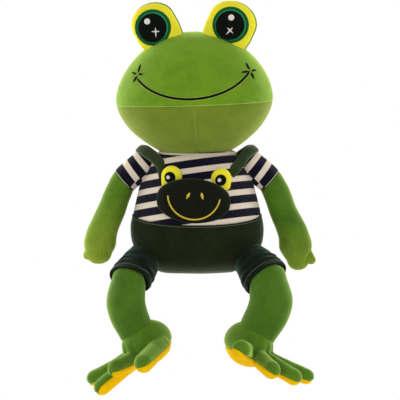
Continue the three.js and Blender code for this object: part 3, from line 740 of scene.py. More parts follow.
def raised_disc(
    name: str, surface: Surface, centre: Array, outer: tuple, lift: float, inner: float = 0.0
) -> bpy.types.Object:
    """A disc or a ring of satin stitch on a surface.

    Args:
        name: the piece's name.
        surface: the surface's point at a place across and up.
        centre: its middle, across and up.
        outer: its half width and half height.
        lift: how far it stands up.
        inner: the share of its size that is open in its middle.

    Returns:
        The piece, in the surface's own frame.
    """
    angles = round_angles(72)
    back = np.array([0, 0.8, 0])

    def ring(share: float) -> tuple[Array, Array]:
        """Places across and up on a ring of a share of the disc's size."""
        x = centre[0] + outer[0] * share * np.cos(angles)
        return x, centre[1] + outer[1] * share * np.sin(angles)

    reach = np.array([1, 0.985, 0.95, 0.88, 0.75, 0.55, 0.35, 0.15])
    if inner:
        reach = np.linspace(inner, 1, 14)[::-1]
    rows = []
    for share in reach:
        edge = min((1 - share) / 0.06, 1.0)
        if inner:
            edge = min((1 - share) / 0.05, (share - inner) / 0.05, 1.0)
        rise = lift * math.sqrt(max(edge, 0)) - (0.6 if edge <= 0 else 0)
        rows.append(lifted(surface, rise)(*ring(share)))
    uv = grid_map(np.concatenate([angles, [2 * math.pi]]) * outer[0], reach * outer[0])
    if inner:
        rows += [surface(*ring(share)) + back for share in (inner, 1.0)]
        return closed_ring(name, np.stack(rows), np.concatenate([uv, uv[-1:], uv[:1]]))
    middle = np.array([centre[0]]), np.array([centre[1]])
    poles = surface(*middle)[0] + back, lifted(surface, lift)(*middle)[0]
    return shell(name, np.stack(rows), uv, poles)


def rolled_in(hem: Array, along: Array, steps: tuple) -> list[Array]:
    """Rings that turn a hem in, each a share of the hem's size and a distance past its plane."""
    middle = hem.mean(axis=0)
    return [middle + (hem - middle) * share + along * past for share, past in steps]


def squared_off(rings: Array, run: Array, point: Array, along: Array, power: float) -> Array:
    """Rings slid so that the last one lies in a plane.

    Args:
        rings: rows by points by 3.
        run: each ring's distance along the spine.
        point: a point of the plane.
        along: the plane's direction, in which the points slide.
        power: how soon the rings before the last one slide less.

    Returns:
        The rings.
    """
    distance = (rings - point) @ along
    share = np.clip((run - run[0]) / (run[-1] - run[0]), 0, 1)[:, None]
    return rings - along * (distance[-1:] * share**power)[..., None]


def closed_ring(name: str, rings: Array, uv: Array) -> bpy.types.Object:
    """A mesh that closes both around and across, such as a ring of thread.

    Args:
        name: the piece's name.
        rings: rows by points by 3, the last row meeting the first.
        uv: rows by points plus one by 2.

    Returns:
        The new object.
    """
    rows, count, _ = rings.shape
    faces, corners = [], []
    for row in range(rows):
        below = (row + 1) % rows
        for i in range(count):
            j = (i + 1) % count
            faces.append((row * count + i, row * count + j, below * count + j, below * count + i))
            corners.append(((row, i), (row, i + 1), (below, i + 1), (below, i)))
    mesh = bpy.data.meshes.new(name)
    mesh.from_pydata([tuple(p) for p in rings.reshape(-1, 3) * MM], [], faces)
    map_cloth(mesh, corners, uv)
    return finished(name, mesh)


def thread_round(name: str, middle: Array, radius: float) -> bpy.types.Object:
    """A thread laid along a closed line, such as the stitching round a hem.

    Args:
        name: the piece's name.
        middle: the line's points.
        radius: the thread's radius.

    Returns:
        The piece.
    """
    along = unit(np.roll(middle, -1, 0) - np.roll(middle, 1, 0))
    out = middle - middle.mean(axis=0)
    out = unit(out - along * (out * along).sum(axis=1, keepdims=True))
    side = np.cross(along, out)
    turns = np.radians(np.arange(0, 360, 60))
    rings = np.stack([middle + radius * (out * math.cos(t) + side * math.sin(t)) for t in turns])
    return closed_ring(name, rings, grid_map(run_along(middle, closed=True), np.arange(len(rings))))


def tube_round(
    name: str, form: Tower, height: Callable[[Array], Array], radius: float, stand: float
) -> bpy.types.Object:
    """A thin cord of pile or thread that runs all the way round a form along a seam.

    Args:
        name: the piece's name.
        form: the form that it goes round.
        height: the seam's heights at a ring's points.
        radius: the cord's own radius.
        stand: how far its middle lies out of the form.

    Returns:
        The piece, in the form's own frame.
    """
    level = np.full((1, AROUND), form.height / 2)
    for _ in range(4):
        level = height(form.rings(level, AROUND))
    middle = form.rings(level, AROUND)[0]
    width, depth, lean = form.at(level[0])
    steep = [middle[:, 0] / width**2, (middle[:, 1] - lean) / depth**2, np.zeros(AROUND)]
    out = unit(np.stack(steep, axis=-1))
    rise = np.array([0, 0, radius])
    turns = np.radians(np.arange(0, 360, 45))
    rings = np.stack([middle + out * (stand + radius * math.cos(t)) + rise * math.sin(t) for t in turns])
    return closed_ring(name, rings, grid_map(run_along(middle, closed=True), np.arange(len(rings))))


@dataclass(frozen=True)
class Pillow:
    """A pad of two panels sewn round their rim, told by its outline round a middle.

    Its own frame has the outline in X and Z, and its front swells along -Y.
    """

    outline: Array
    middle: tuple[float, float]
    front: float
    back: float
    fullness: float = 2.3
    edge: float = 0.55
    curl: Callable[[Array, Array], Array] | None = None

    def reach(self, x: Array, z: Array) -> Array:
        """Share of the way from the middle to the rim."""
        rim = self.outline - np.array(self.middle)
        angles = np.arctan2(rim[:, 1], rim[:, 0])
        order = np.argsort(angles)
        away_x, away_z = x - self.middle[0], z - self.middle[1]
        turn = np.arctan2(away_z, away_x)
        radius = np.interp(turn, angles[order], np.linalg.norm(rim, axis=1)[order], period=2 * math.pi)
        return np.hypot(away_x, away_z) / radius

    def bend(self, x: Array, z: Array) -> Array:
        """How far the pad's middle sheet lies back at a place."""
        return self.curl(x, z) if self.curl else np.zeros_like(x)

    def surface(self, x: Array, z: Array) -> Array:
        """Points of the front."""
        share = np.clip(self.reach(x, z), 0, 1)
        puff = self.front * (1 - share**self.fullness) ** self.edge
        return np.stack([x, self.bend(x, z) - puff, z], axis=-1)

    def half(self, name: str, front: bool, seed: int, rings: int = 26) -> bpy.types.Object:
        """One panel with a flat back behind the rim.

        Args:
            name: the piece's name.
            front: whether this is the front panel.
            seed: tells its unevenness from another's.
            rings: how many rings it has between its middle and its rim.

        Returns:
            The piece, in the pad's own frame.
        """
        shares = np.sin(np.linspace(0.06, 1, rings) * math.pi / 2)[::-1]
        thickness = self.front if front else self.back
        way = -1 if front else 1
        middle = np.array(self.middle)
        rows = []
        for share in shares:
            place = middle + (self.outline - middle) * share
            puff = thickness * max(1 - share**self.fullness, 0.0) ** self.edge
            y = self.bend(place[:, 0], place[:, 1]) + way * (puff + SEWN / 2)
            rows.append(np.stack([place[:, 0], y, place[:, 1]], axis=-1))
        points = np.stack(rows)
        swell = softness(points, 16, seed) * 0.5 * np.minimum((1 - shares) * 5, 1)[:, None]
        points[..., 1] += way * swell
        x, z = np.array([middle[0]]), np.array([middle[1]])
        centre = self.bend(x, z)[0]
        inner = points[:1] * np.array([1, 0, 1]) + np.array([0, 1, 0]) * (points[:1] - way * 0.1)
        inner = np.array([middle[0], 0, middle[1]]) * [1, 0, 1] * 0.02 + inner * [0.98, 1, 0.98]
        ends = [centre + way * stand for stand in (0.1, thickness + SEWN / 2)]
        poles = tuple((middle[0], end, middle[1]) for end in ends)
        return shell(name, np.concatenate([inner, points]), None, poles)


@dataclass(frozen=True)
class Limb:
    """A stuffed limb along a curved spine, each station a place, a half width and a half depth."""

    stations: tuple
    across: tuple[float, float, float] = (0, 1, 0)

    def spine(self, where: Array) -> tuple[Array, Array, Array]:
        """Places, directions and half sizes at places counted in stations."""
        table = np.array([[*at, width, depth] for at, width, depth in self.stations], float)
        values = through(table, where)
        ahead = through(table, np.clip(where + 0.01, 0, len(table) - 1))[:, :3]
        behind = through(table, np.clip(where - 0.01, 0, len(table) - 1))[:, :3]
        return values[:, :3], unit(ahead - behind), values[:, 3:]

    def rings(self, where: Array, around: int, grow: float = 0.0) -> tuple[Array, Array]:
        """Rings of the limb.

        Args:
            where: the rings' places, counted in stations.
            around: how many points a ring has.
            grow: how much wider than the limb they are.

        Returns:
            Rows by points by 3, and each ring's distance along the spine.
        """
        at, along, half = self.spine(where)
        side = unit(np.cross(np.array(self.across, float), along))
        rise = np.cross(along, side)
        angles = round_angles(around)
        wide = (half[:, :1] + grow) * np.cos(angles)
        deep = (half[:, 1:] + grow) * np.sin(angles)
        points = at[:, None] + side[:, None] * wide[..., None] + rise[:, None] * deep[..., None]
        return points, run_along(at)

    def capped(self, around: int, rows: int) -> Array:
        """The whole limb with round ends, rows by points by 3."""
        last = len(self.stations) - 1
        points, _ = self.rings(np.linspace(0, last, rows), around)
        parts = [points]
        for end, way in ((0, -1), (-1, 1)):
            at, along, half = self.spine(np.array([0.0 if end == 0 else float(last)]))
            middle, direction, size = at[0], along[0] * way, half[0].mean()
            turns = np.radians([14, 28, 42, 56, 70, 82])
            ring = points[end] - middle
            cap = [middle + ring * math.cos(t) + direction * size * math.sin(t) for t in turns]
            parts = [np.stack(cap[::-1]), *parts] if end == 0 else [*parts, np.stack(cap)]
        return np.concatenate(parts)


def fused(name: str, parts: list[Array]) -> bpy.types.Object:
    """Several closed forms sewn into one skin.

    Args:
        name: the piece's name.
        parts: stacks of rings in millimetres, each closed at its ends.

    Returns:
        The piece, with its modifiers applied.
    """
    shells = [shell(f"{name}_{k}", rings) for k, rings in enumerate(parts)]
    work = bmesh.new()
    for part in shells:
        work.from_mesh(part.data)
    for part in shells:
        bpy.data.objects.remove(part)
    mesh = bpy.data.meshes.new(name)
    work.to_mesh(mesh)
    work.free()
    piece = linked(name, mesh)
    remesh = piece.modifiers.new("sewn", "REMESH")
    remesh.mode = "VOXEL"
    remesh.voxel_size = VOXEL * MM
    relax = piece.modifiers.new("relaxed", "SMOOTH")
    relax.factor = 0.5
    relax.iterations = RELAXED
    ready = bpy.data.meshes.new_from_object(piece.evaluated_get(bpy.context.evaluated_depsgraph_get()))
    bpy.data.objects.remove(piece)
    return finished(name, ready)


def cut(piece: bpy.types.Object, point: Array, normal: Array, name: str) -> bpy.types.Object:
    """A closed copy of a piece on the side of a plane that its normal points to.

    Args:
        piece: the piece that is cut.
        point: a point of the plane, in millimetres.
        normal: the plane's normal.
        name: the copy's name.

    Returns:
        The copy.
    """
    work = bmesh.new()
    work.from_mesh(piece.data)
    everything = [*work.verts, *work.edges, *work.faces]
    at, way = Vector(point) * MM, Vector(normal)
    bmesh.ops.bisect_plane(work, geom=everything, dist=1e-7, plane_co=at, plane_no=way, clear_inner=True)
    bmesh.ops.holes_fill(work, edges=[edge for edge in work.edges if edge.is_boundary])
    bmesh.ops.triangulate(work, faces=[face for face in work.faces if len(face.verts) > 4])
    mesh = bpy.data.meshes.new(name)
    work.to_mesh(mesh)
    work.free()
    return finished(name, mesh)


def pressed(piece: bpy.types.Object, change: Callable[[Array], Array]) -> bpy.types.Object:
    """Moves a piece's vertices along their normals.

    Args:
        piece: the piece.
        change: how many millimetres outwards each place moves.

    Returns:
        The piece.
    """
    places = vertex_places(piece.data)
    normals = np.array([v.vector for v in piece.data.vertex_normals], float)
    place_vertices(piece.data, places + normals * change(places)[:, None])
    return piece


# The frog


class Placed:
    """A sub-assembly whose pieces are made in a frame of its own and ride on one body."""

    body: ClassVar[str]

    def placement(self) -> Matrix:
        """From its own frame to the row's."""
        raise NotImplementedError

    def sew(
        self,
        piece: bpy.types.Object,
        finish: Finish,
        slot: Slot,
        nodes: tuple[str, ...] = (),
        fill: float | None = None,
    ) -> None:
        """Dresses a piece that was made in this frame, as dress does."""
        dress(moved(piece, self.placement()), finish, self.body, nodes)


# Where the four stitches at each end of the smile meet, and how far each one reaches, across and up
SMILE_STARS = {
    Side.RIGHT: ((-80.0, 119.5), ((4.0, 12.5), (-8.5, 2.0), (8.0, 0.0), (-6.0, -10.5))),
    Side.LEFT: ((85.0, 118.5), ((-6.0, 11.0), (-12.0, -1.0), (7.5, 0.5), (4.5, -11.5))),
}


@dataclass(frozen=True)
class Head(Placed):
    """The head: crown above the cheek seam, jaw below it, and the embroidered smile."""

    body: ClassVar[str] = "head"
    form: Tower = Tower(
        178, 116, 92, 12,
        (
            (0, 0.45, 0.46, 0.1), (0.055, 0.585, 0.6, 0.35), (0.125, 0.72, 0.735, 0.65),
            (0.207, 0.845, 0.85, 0.9), (0.308, 0.948, 0.95, 1), (0.409, 1, 1, 1),
            (0.51, 0.992, 0.985, 0.9), (0.612, 0.937, 0.92, 0.75), (0.713, 0.845, 0.83, 0.55),
            (0.814, 0.71, 0.7, 0.35), (0.9, 0.53, 0.53, 0.2), (0.962, 0.33, 0.34, 0.1), (1, 0, 0, 0),
        ),
        True,
    )
    neck: float = 181.3
    turn: float = -3
    tilt: float = -2
    seam: float = 73
    dart_top: float = 113
    smile_half_width: float = 91
    smile_drop: float = 58
    smile_height: float = 140.5
    smile_ends: tuple[float, float] = (26.5, 22)
    seam_across: float = 3.5
    stroke: float = 4.0

    def placement(self) -> Matrix:
        """Where the upright head is turned, tilted and set on the neck."""
        tilted = Matrix.Rotation(math.radians(self.tilt), 4, "Y")
        turned = Matrix.Rotation(math.radians(self.turn), 4, "Z")
        return Matrix.Translation((0, 0, self.neck)) @ (tilted @ turned)

    def smile_path(self, count: int = 90) -> Array:
        """The smile's middle line, across and up."""
        turn = np.radians(np.linspace(180 + self.smile_ends[0], 360 - self.smile_ends[1], count))
        up = self.smile_height + self.smile_drop * np.sin(turn)
        return np.stack([self.smile_half_width * np.cos(turn), up], axis=-1)

    def relief(self, points: Array) -> Array:
        """How far the skin stands out of the plain form at each place."""
        x, y, z = points[..., 0], points[..., 1], points[..., 2]
        front = 1 / (1 + np.exp(y / 6))
        off = x - self.seam_across
        beside = groove(np.abs(off) - 4.0, 2.0) * 0.35
        dart = (groove(off, 1.5) * 1.5 - beside) * np.clip((self.dart_top - z) / 4, 0, 1)
        nick = groove(np.hypot(off, (z - self.dart_top) / 2.2), 2.2) * 1.3
        back_seam = groove(x, 2.2) * (1 - front) * 1.1
        pulled = np.zeros_like(x)
        near = (y < 0) & (z < self.smile_height) & (z > 60)
        if near.any():
            path = self.smile_path(60)
            away = np.linalg.norm(points[near][:, None, [0, 2]] - path[None], axis=-1).min(axis=1)
            pulled[near] = groove(away, 5.0) * 0.9
        cheek = groove(z - self.seam, 1.8)
        return softness(points, 48, 3) * 1.1 - front * (dart + nick) - back_seam - pulled - cheek

    def surface(self, x: Array, z: Array) -> Array:
        """The skin's front, in the upright head's frame."""
        points = self.form.front(x, z)
        return points + surface_normals(self.form.front, x, z) * self.relief(points)[..., None]

    def build(self) -> None:
        """Builds the two panels, their seams and the embroidery."""
        top = self.form.height - 0.01
        for name, low, high, count, finish, nodes in (
            ("head_jaw", 0.0, self.seam - SEWN / 2, 64, JAW, ("head_jaw_skin", "head_stuffing")),
            ("head_crown", self.seam + SEWN / 2, top, 96, CROWN, ("head_crown_skin",)),
        ):
            rings = self.form.rings(self.form.levels(low, high, count), AROUND)
            rings = rings + ring_normals(rings) * self.relief(rings)[..., None]
            self.sew(shell(name, rings), finish, Slot.GREEN, nodes, 0.9)
        # The centre seam's ridges, coloured paler as a painted highlight along the seam.
        for name, low, high, finish in (
            ("jaw", 6.0, self.seam - 2, JAW_SEAM_HIGHLIGHT),
            ("crown", self.seam + 2, self.dart_top - 1, CROWN_SEAM_HIGHLIGHT),
        ):
            line = np.stack([np.full(40, self.seam_across), np.linspace(low, high, 40)], axis=-1)
            ridge = raised_band(f"centre_seam_{name}", self.surface, line, np.full(40, 0.75), 0.35, 0.3)
            self.sew(ridge, finish, Slot.GREEN)
        # The cord along the cheek seam is coloured pale: a painted highlight along the seam.
        seam = tube_round("cheek_seam", self.form, lambda at: np.full(at.shape[:-1], self.seam), 0.75, -0.55)
        self.sew(seam, HIGHLIGHT_VELOUR, Slot.GREEN)
        self.embroider()

    def embroider(self) -> None:
        """Builds the smile and the four short stitches at each of its ends."""
        path = self.smile_path()
        halves = np.full(len(path), self.stroke / 2)
        halves[:2] *= 0.5
        halves[-2:] *= 0.5
        # A pale strip just wider than the smile: a painted highlight round the stroke.
        edge = raised_band("smile_highlight_edge", self.surface, path, halves + 1.0, 0.25)
        self.sew(edge, HIGHLIGHT_VELOUR, Slot.GREEN)
        smile = raised_band("smile", self.surface, path, halves, 1.2)
        self.sew(smile, BLACK, Slot.BLACK, ("smile_embroidery",))
        for side, (centre, rays) in SMILE_STARS.items():
            for k, ray in enumerate(rays):
                direction = np.array(ray)
                start = np.array(centre) + direction * 0.22
                line = start + direction * 0.85 * np.linspace(0, 1, 12)[:, None]
                leaf = np.sin(np.linspace(0.12, 0.97, 12) * math.pi) * 1.5 + 0.15
                stitch = raised_band(f"smile_stitch_{side.value}_{k + 1}", self.surface, line, leaf, 1.0)
                self.sew(stitch, BLACK, Slot.BLACK)


@dataclass(frozen=True)
class Glint:
    """The white marks on one pupil, told upright from its middle, and the star's turn."""

    dot: tuple[float, float]
    star: tuple[float, float]
    turn: float


GLINTS = {
    Side.RIGHT: Glint((-6.8, 9.7), (5.0, -5.3), 0),
    Side.LEFT: Glint((2.2, 11.2), (-0.2, -7.3), -45),
}


@dataclass(frozen=True)
class EyePod(Placed):
    """One eye: a pad with a yellow front, a green back, and an embroidered iris and pupil."""

    body: ClassVar[str] = "head"
    side: Side
    head: Head
    spread: float = 44
    forward: float = 13
    seat: float = 160.2
    lean: float = 27.5
    half_width: float = 35.5
    base: float = 34
    cap: float = 30
    root: float = 12
    seat_half_width: float = 32
    puff: float = 13.5
    iris: float = 27
    pupil: float = 21.5
    iris_height: float = 29
    pupil_lift: float = 1.6
    pupil_aside: tuple[float, float] = (-0.8, -0.6)
    light_line: float = 0.86  # the lighter line's size, as a share of the iris
    dot: float = 4.4
    star: tuple[float, float, float, float] = (5.6, 5.8, 8.2, 5.8)  # how far its points reach
    back_aside: tuple[float, float] = (1.6, 0.8)
    narrow: float = 0.86  # how much narrower the right pad is on its outer side

    def outline(self) -> Array:
        """The pad's rim, across and along it."""
        cap = np.radians(np.linspace(0, 180, 25))
        top = np.stack([self.half_width * np.cos(cap), self.base + self.cap * np.sin(cap)], axis=-1)
        seat = self.seat_half_width
        side = np.array([[-self.half_width, 17], [-seat - 1, 0], [-seat, -self.root]])
        low = np.array([[-16, -self.root - 3], [0, -self.root - 4], [16, -self.root - 3]])
        points = np.concatenate([top, side, low, side[::-1] * [-1, 1]])
        points = np.vstack([points, points[:1]])
        run = run_along(points)
        even = np.linspace(0, run[-1], 121)[:-1]
        rim = np.stack([np.interp(even, run, points[:, k]) for k in (0, 1)], axis=-1)
        if self.side is Side.RIGHT:
            rim[:, 0] = np.where(rim[:, 0] < 0, rim[:, 0] * self.narrow, rim[:, 0])
        return rim

    def placement(self) -> Matrix:
        """From the pad's own frame to the row's."""
        lean = Matrix.Rotation(math.radians(self.side.sign * self.lean), 4, "Y")
        at = Matrix.Translation((self.side.sign * self.spread, -self.forward, self.seat))
        return self.head.placement() @ at @ lean

    def build(self) -> None:
        """Builds the two panels and the embroidery."""
        word, sign = self.side.value, self.side.sign
        pad = Pillow(self.outline(), (0, self.iris_height), self.puff, self.puff + 1)
        front = pad.half(f"eye_front_panel_{word}", True, 11 + sign)
        self.sew(front, EYE_YELLOW, Slot.YELLOW, (f"eye_front_{word}", f"eye_stuffing_{word}"), 0.7)
        across, up = self.back_aside
        aside = Matrix.Translation((across, 0, up))
        back = moved(pad.half(f"eye_back_panel_{word}", False, 15 + sign), self.placement() @ aside)
        dress(back, CROWN, "head", (f"eye_back_{word}",))
        self.embroider(pad)

    def embroider(self, pad: Pillow) -> None:
        """Builds the iris, the pupil, the dot and the four-pointed star."""
        word = self.side.value
        glint = GLINTS[self.side]
        middle = np.array([0.0, self.iris_height])
        lean = math.radians(self.side.sign * self.lean)
        cos, sin = math.cos(lean), math.sin(lean)

        def upright(x: float, z: float) -> Array:
            """A place told upright, in the leaning pad's frame."""
            return np.array([x * cos - z * sin, x * sin + z * cos])

        rim = raised_disc(f"iris_rim_{word}", pad.surface, middle, (self.iris, self.iris), 1.2, 0.8)
        self.sew(rim, IRIS, Slot.IRIS, (f"iris_{word}",))
        size = (self.iris * self.light_line,) * 2
        light = raised_disc(f"iris_light_{word}", pad.surface, middle, size, 1.0, 0.86)
        self.sew(light, TEAL, Slot.IRIS)
        centre = middle + upright(*self.pupil_aside)
        size = (self.pupil, self.pupil + 0.4)
        pupil = raised_disc(f"pupil_disc_{word}", pad.surface, centre, size, self.pupil_lift)
        self.sew(pupil, PUPIL, Slot.BLACK, (f"pupil_{word}",))
        on_pupil = lifted(pad.surface, self.pupil_lift)
        dot = raised_disc(f"eye_dot_{word}", on_pupil, centre + upright(*glint.dot), (self.dot,) * 2, 0.8)
        self.sew(dot, WHITE, Slot.BLACK)
        star = centre + upright(*glint.star)
        for k, reach in enumerate(self.star):
            angle = math.radians(90 - 90 * k + glint.turn)
            ray = upright(math.cos(angle), math.sin(angle)) * reach
            line = star + ray * np.linspace(-0.12, 1, 10)[:, None]
            taper = 1.25 * (1 - 0.75 * np.linspace(0, 1, 10) ** 2)
            point = raised_band(f"eye_star_{word}_{k + 1}", on_pupil, line, taper, 0.8)
            self.sew(point, WHITE, Slot.BLACK)


@dataclass(frozen=True)
class Torso:
    """The stuffed body: striped shirt above the waist seam, shorts below it, and a neckband."""

    form: Tower = Tower(
        181, 100, 80, 5,
        (
            (0, 0.56, 0.38, 0.4), (0.04, 0.7, 0.63, 0.7), (0.12, 0.85, 0.85, 1), (0.24, 0.97, 0.97, 1),
            (0.37, 1, 1, 1), (0.51, 0.95, 0.96, 0.8), (0.65, 0.89, 0.9, 0.6), (0.76, 0.83, 0.84, 0.4),
            (0.86, 0.75, 0.75, 0.2), (0.94, 0.66, 0.66, 0), (1, 0.54, 0.54, 0),
        ),
        False,
    )
    waist: float = 88
    dip: float = 9
    band_height: float = 3
    band_thickness: float = 2
    # How far a stripe rises sideways and drops backwards, and how much it bows
    stripe_slopes: tuple[float, float, float] = (0.1411, 0.1409, 0.000031)
    thread_drop: float = 2.6  # how far below the waist seam its thread lies
    rows: int = 74

    @property
    def slope(self) -> float:
        """How far the waist seam rises for each step towards the back."""
        return self.dip / self.form.half_depth

    def relief(self, points: Array) -> Array:
        """How far the cloth stands out of the plain form at each place."""
        x, y, z = points[..., 0], points[..., 1], points[..., 2]
        waist = z - self.waist - self.slope * y
        below = 1 / (1 + np.exp(waist / 1.5))
        centre = groove(x, 2.0) * below * 0.9 * np.clip(z / 12, 0, 1)
        return softness(points, 40, 5) * 1.2 - groove(waist, 2.4) * 1.6 - centre

    def panel(self, low: float, high: float, count: int) -> Array:
        """Rings of the body between two heights, those near the waist tilted as its seam is."""
        heights = self.form.levels(low, high, count)[:, None] * np.ones(AROUND)
        pull = eased(1 - np.abs(heights - self.waist) / 60)
        warped = heights
        for _ in range(4):
            rings = self.form.rings(warped, AROUND)
            warped = heights + pull * self.dip / self.form.half_depth * rings[..., 1]
        rings = self.form.rings(warped, AROUND)
        return rings + ring_normals(rings) * self.relief(rings)[..., None]

    def stripes(self, rings: Array) -> Array:
        """The shirt's map: round the body, and up across the stripes."""
        closed = np.concatenate([rings, rings[:, :1]], axis=1)
        x, y, z = closed[..., 0], closed[..., 1], closed[..., 2]
        sideways, backwards, bow = self.stripe_slopes
        across = z - sideways * x + backwards * y + bow * x**2
        turn = np.linspace(0, 2 * math.pi * self.form.half_depth, closed.shape[1]) * np.ones_like(z)
        return np.stack([turn, across], axis=-1) * MM

    def build(self) -> None:
        """Builds the shorts' seat, the shirt and the neckband."""
        seat = self.panel(0.0, self.waist - SEWN / 2, self.rows)
        flat = np.concatenate([seat[:1] * [s, s, 1] for s in (0.25, 0.55, 0.8, 0.93)])
        flat[..., 2] = 0.0
        piece = shell("shorts_seat", np.concatenate([flat, seat]))
        dress(piece, SHORTS, "torso", ("shorts_seat_skin", "torso_stuffing"))
        shirt = self.panel(self.waist + SEWN / 2, self.form.height - 0.5, self.rows)
        piece = shell("shirt", shirt, self.stripes(shirt))
        dress(piece, STRIPES, "torso", ("shirt_skin",))
        line = self.waist - self.thread_drop
        seam = tube_round("waist_seam", self.form, lambda at: line + self.slope * at[..., 1], 0.55, -0.1)
        dress(seam, SEAM_THREAD, "torso")
        self.build_neckband()

    def build_neckband(self) -> None:
        """Builds the ribbed band round the neck."""
        angles = round_angles(AROUND)
        low = self.form.height - self.band_height
        rows = []
        for turn in np.radians(np.arange(-90, 271, 30)):
            z = low + self.band_height / 2 * (1 + np.clip(math.sin(turn) * 1.15, -1, 1))
            width, depth, middle = self.form.at(np.array(z))
            out = self.band_thickness / 2 + SEWN + self.band_thickness / 2 * math.cos(turn)
            ribs = 0.3 * np.sin(angles * 88) * (math.cos(turn) > 0.3)
            x = (width + out + ribs) * np.cos(angles)
            y = middle + (depth + out + ribs) * np.sin(angles)
            rows.append(np.stack([x, y, np.full_like(x, z)], axis=-1))
        rings = np.stack(rows[:-1])
        uv = grid_map(np.linspace(0, 2 * math.pi * 58, AROUND + 1), np.arange(len(rings)))
        dress(closed_ring("neckband_rib", rings, uv), RIB, "torso", ("neckband",))


# The middle of each nostril of the bib's face, and where its upper end lies from there
NOSTRILS = {
    Side.RIGHT: ((-8.5, 8.5), (2.2, 4.6)),
    Side.LEFT: ((12.0, 9.5), (-1.6, 4.8)),
}


@dataclass(frozen=True)
class Bib(Placed):
    """The frog-face pad on the chest, with its own eyes, nostrils, smile and shoulder straps."""

    body: ClassVar[str] = "torso"
    torso: Torso
    half_width: float = 56
    half_height: float = 33
    thickness: float = 15
    height: float = 114
    tilt: float = 4.5
    aside: float = -5
    eye_radius: float = 15.5
    eye_thickness: float = 6.5
    eye_spread: float = 38
    eye_rise: float = 34
    eye_turn: float = 14
    eye_aside: tuple[float, float] = (3.5, -2)  # how far the right eye is moved, across and up
    pupil: float = 8.4
    pupil_lift: float = 1.1
    glint: float = 2.7
    glint_aside: tuple[float, float] = (-2.4, 0)
    smile: tuple[float, float, float] = (10, 38, 36)
    stroke: float = 2.4
    strap_half_width: float = 7.6
    strap_half_thickness: float = 3.75
    strap_pull: float = 5.5
    strap_shares: tuple = (
        (0.62, -0.6, 0.78), (0.7, -0.5, 0.86), (0.83, -0.36, 0.93), (0.99, -0.16, 0.985), (1.07, 0, 0.998),
        (0.98, 0.17, 0.985), (0.8, 0.4, 0.92), (0.65, 0.62, 0.82), (0.56, 0.77, 0.66), (0.53, 0.86, 0.5),
        (0.52, 0.88, 0.42),
    )

    def middle(self) -> tuple[float, float, float]:
        """The pad's middle."""
        _, depth, lean = self.torso.form.at(np.array(self.height))
        return self.aside, float(lean - depth) - self.thickness / 4, self.height

    def placement(self) -> Matrix:
        """From the pad's own frame to the row's."""
        return Matrix.Translation(self.middle()) @ Matrix.Rotation(math.radians(self.tilt), 4, "Y")

    def curl(self, x: Array, z: Array) -> Array:
        """How far the pad bends back round the belly."""
        return 0.0022 * np.asarray(x) ** 2

    def build(self) -> None:
        """Builds the pad, its face and the straps."""
        turn = np.radians(np.arange(120) * 3)
        pinch = 1 - 0.035 * np.cos(turn * 2) ** 4
        outline = np.stack([self.half_width * np.cos(turn) * pinch, self.half_height * np.sin(turn)], axis=-1)
        pad = Pillow(outline, (0, 0), self.thickness - 1, self.thickness - 3, curl=self.curl)
        for name, front, nodes in (
            ("bib_front_panel", True, ("bib_skin", "bib_stuffing")),
            ("bib_back_panel", False, ()),
        ):
            self.sew(pad.half(name, front, 21, 34), BIB, Slot.DARK, nodes, 0.7)
        self.embroider(pad)
        for side in Side:
            self.build_eye(side)
            self.build_strap(side)

    def embroider(self, pad: Pillow) -> None:
        """Builds the smile and the two nostrils."""
        height, half_width, drop = self.smile
        turn = np.radians(np.linspace(186, 354, 70))
        path = np.stack([half_width * np.cos(turn), height + drop * np.sin(turn)], axis=-1)
        halves = np.full(len(path), self.stroke / 2)
        halves[[0, -1]] *= 0.5
        smile = raised_band("bib_smile_stitch", pad.surface, path, halves, 1.1)
        self.sew(smile, GOLD, Slot.GOLD, ("bib_smile",))
        for side, (centre, ray) in NOSTRILS.items():
            line = np.array(centre) + np.array(ray) * np.linspace(-1, 1, 14)[:, None]
            leaf = np.sin(np.linspace(0.06, 0.94, 14) ** 1.15 * math.pi) * 2.1 + 0.15
            self.sew(raised_band(f"bib_nostril_{side.value}", pad.surface, line, leaf, 1.0), GOLD, Slot.GOLD)

    def build_eye(self, side: Side) -> None:
        """Builds one yellow eye pad with its pupil and glint."""
        turn = np.radians(np.arange(96) * 3.75)
        outline = np.stack([self.eye_radius * np.cos(turn), self.eye_radius * np.sin(turn)], axis=-1)
        tail = (outline[:, 0] * side.sign > 0) & (outline[:, 1] < 0)
        outline[tail, 1] *= 1.5
        outline[tail, 0] = side.sign * self.eye_radius * np.abs(outline[tail, 0] / self.eye_radius) ** 0.45
        middle = self.middle()
        width, depth, lean = self.torso.form.at(np.array(self.height + self.eye_rise))
        lie = float(-lean + depth * math.sqrt(1 - (self.eye_spread / float(width)) ** 2))
        right = side is Side.RIGHT
        across = side.sign * self.eye_spread + self.eye_aside[0] * right
        up = self.eye_rise + self.eye_aside[1] * right
        at = (across, -lie - self.eye_thickness / 2 - middle[1], up)
        turned = Matrix.Rotation(math.radians(side.sign * self.eye_turn), 4, "Z")
        placement = self.placement() @ Matrix.Translation(at) @ turned
        pad = Pillow(outline, (0, 0), self.eye_thickness, self.eye_thickness - 1)
        word = side.value
        for name, front, nodes in (
            (f"bib_eye_front_{word}", True, (f"bib_eye_{word}",)),
            (f"bib_eye_back_{word}", False, ()),
        ):
            half = moved(pad.half(name, front, 31, 18), placement)
            dress(half, EYE_YELLOW, "torso", nodes)
        centre = np.array([-2.0 + right, -1.5])
        size = (self.pupil, self.pupil)
        pupil = raised_disc(f"bib_pupil_disc_{word}", pad.surface, centre, size, self.pupil_lift)
        dress(moved(pupil, placement), PUPIL, "torso", (f"bib_pupil_{word}",))
        on_pupil = lifted(pad.surface, self.pupil_lift)
        glint = raised_disc(f"bib_glint_{word}", on_pupil, centre + self.glint_aside, (self.glint,) * 2, 0.6)
        dress(moved(glint, placement), WHITE, "torso")

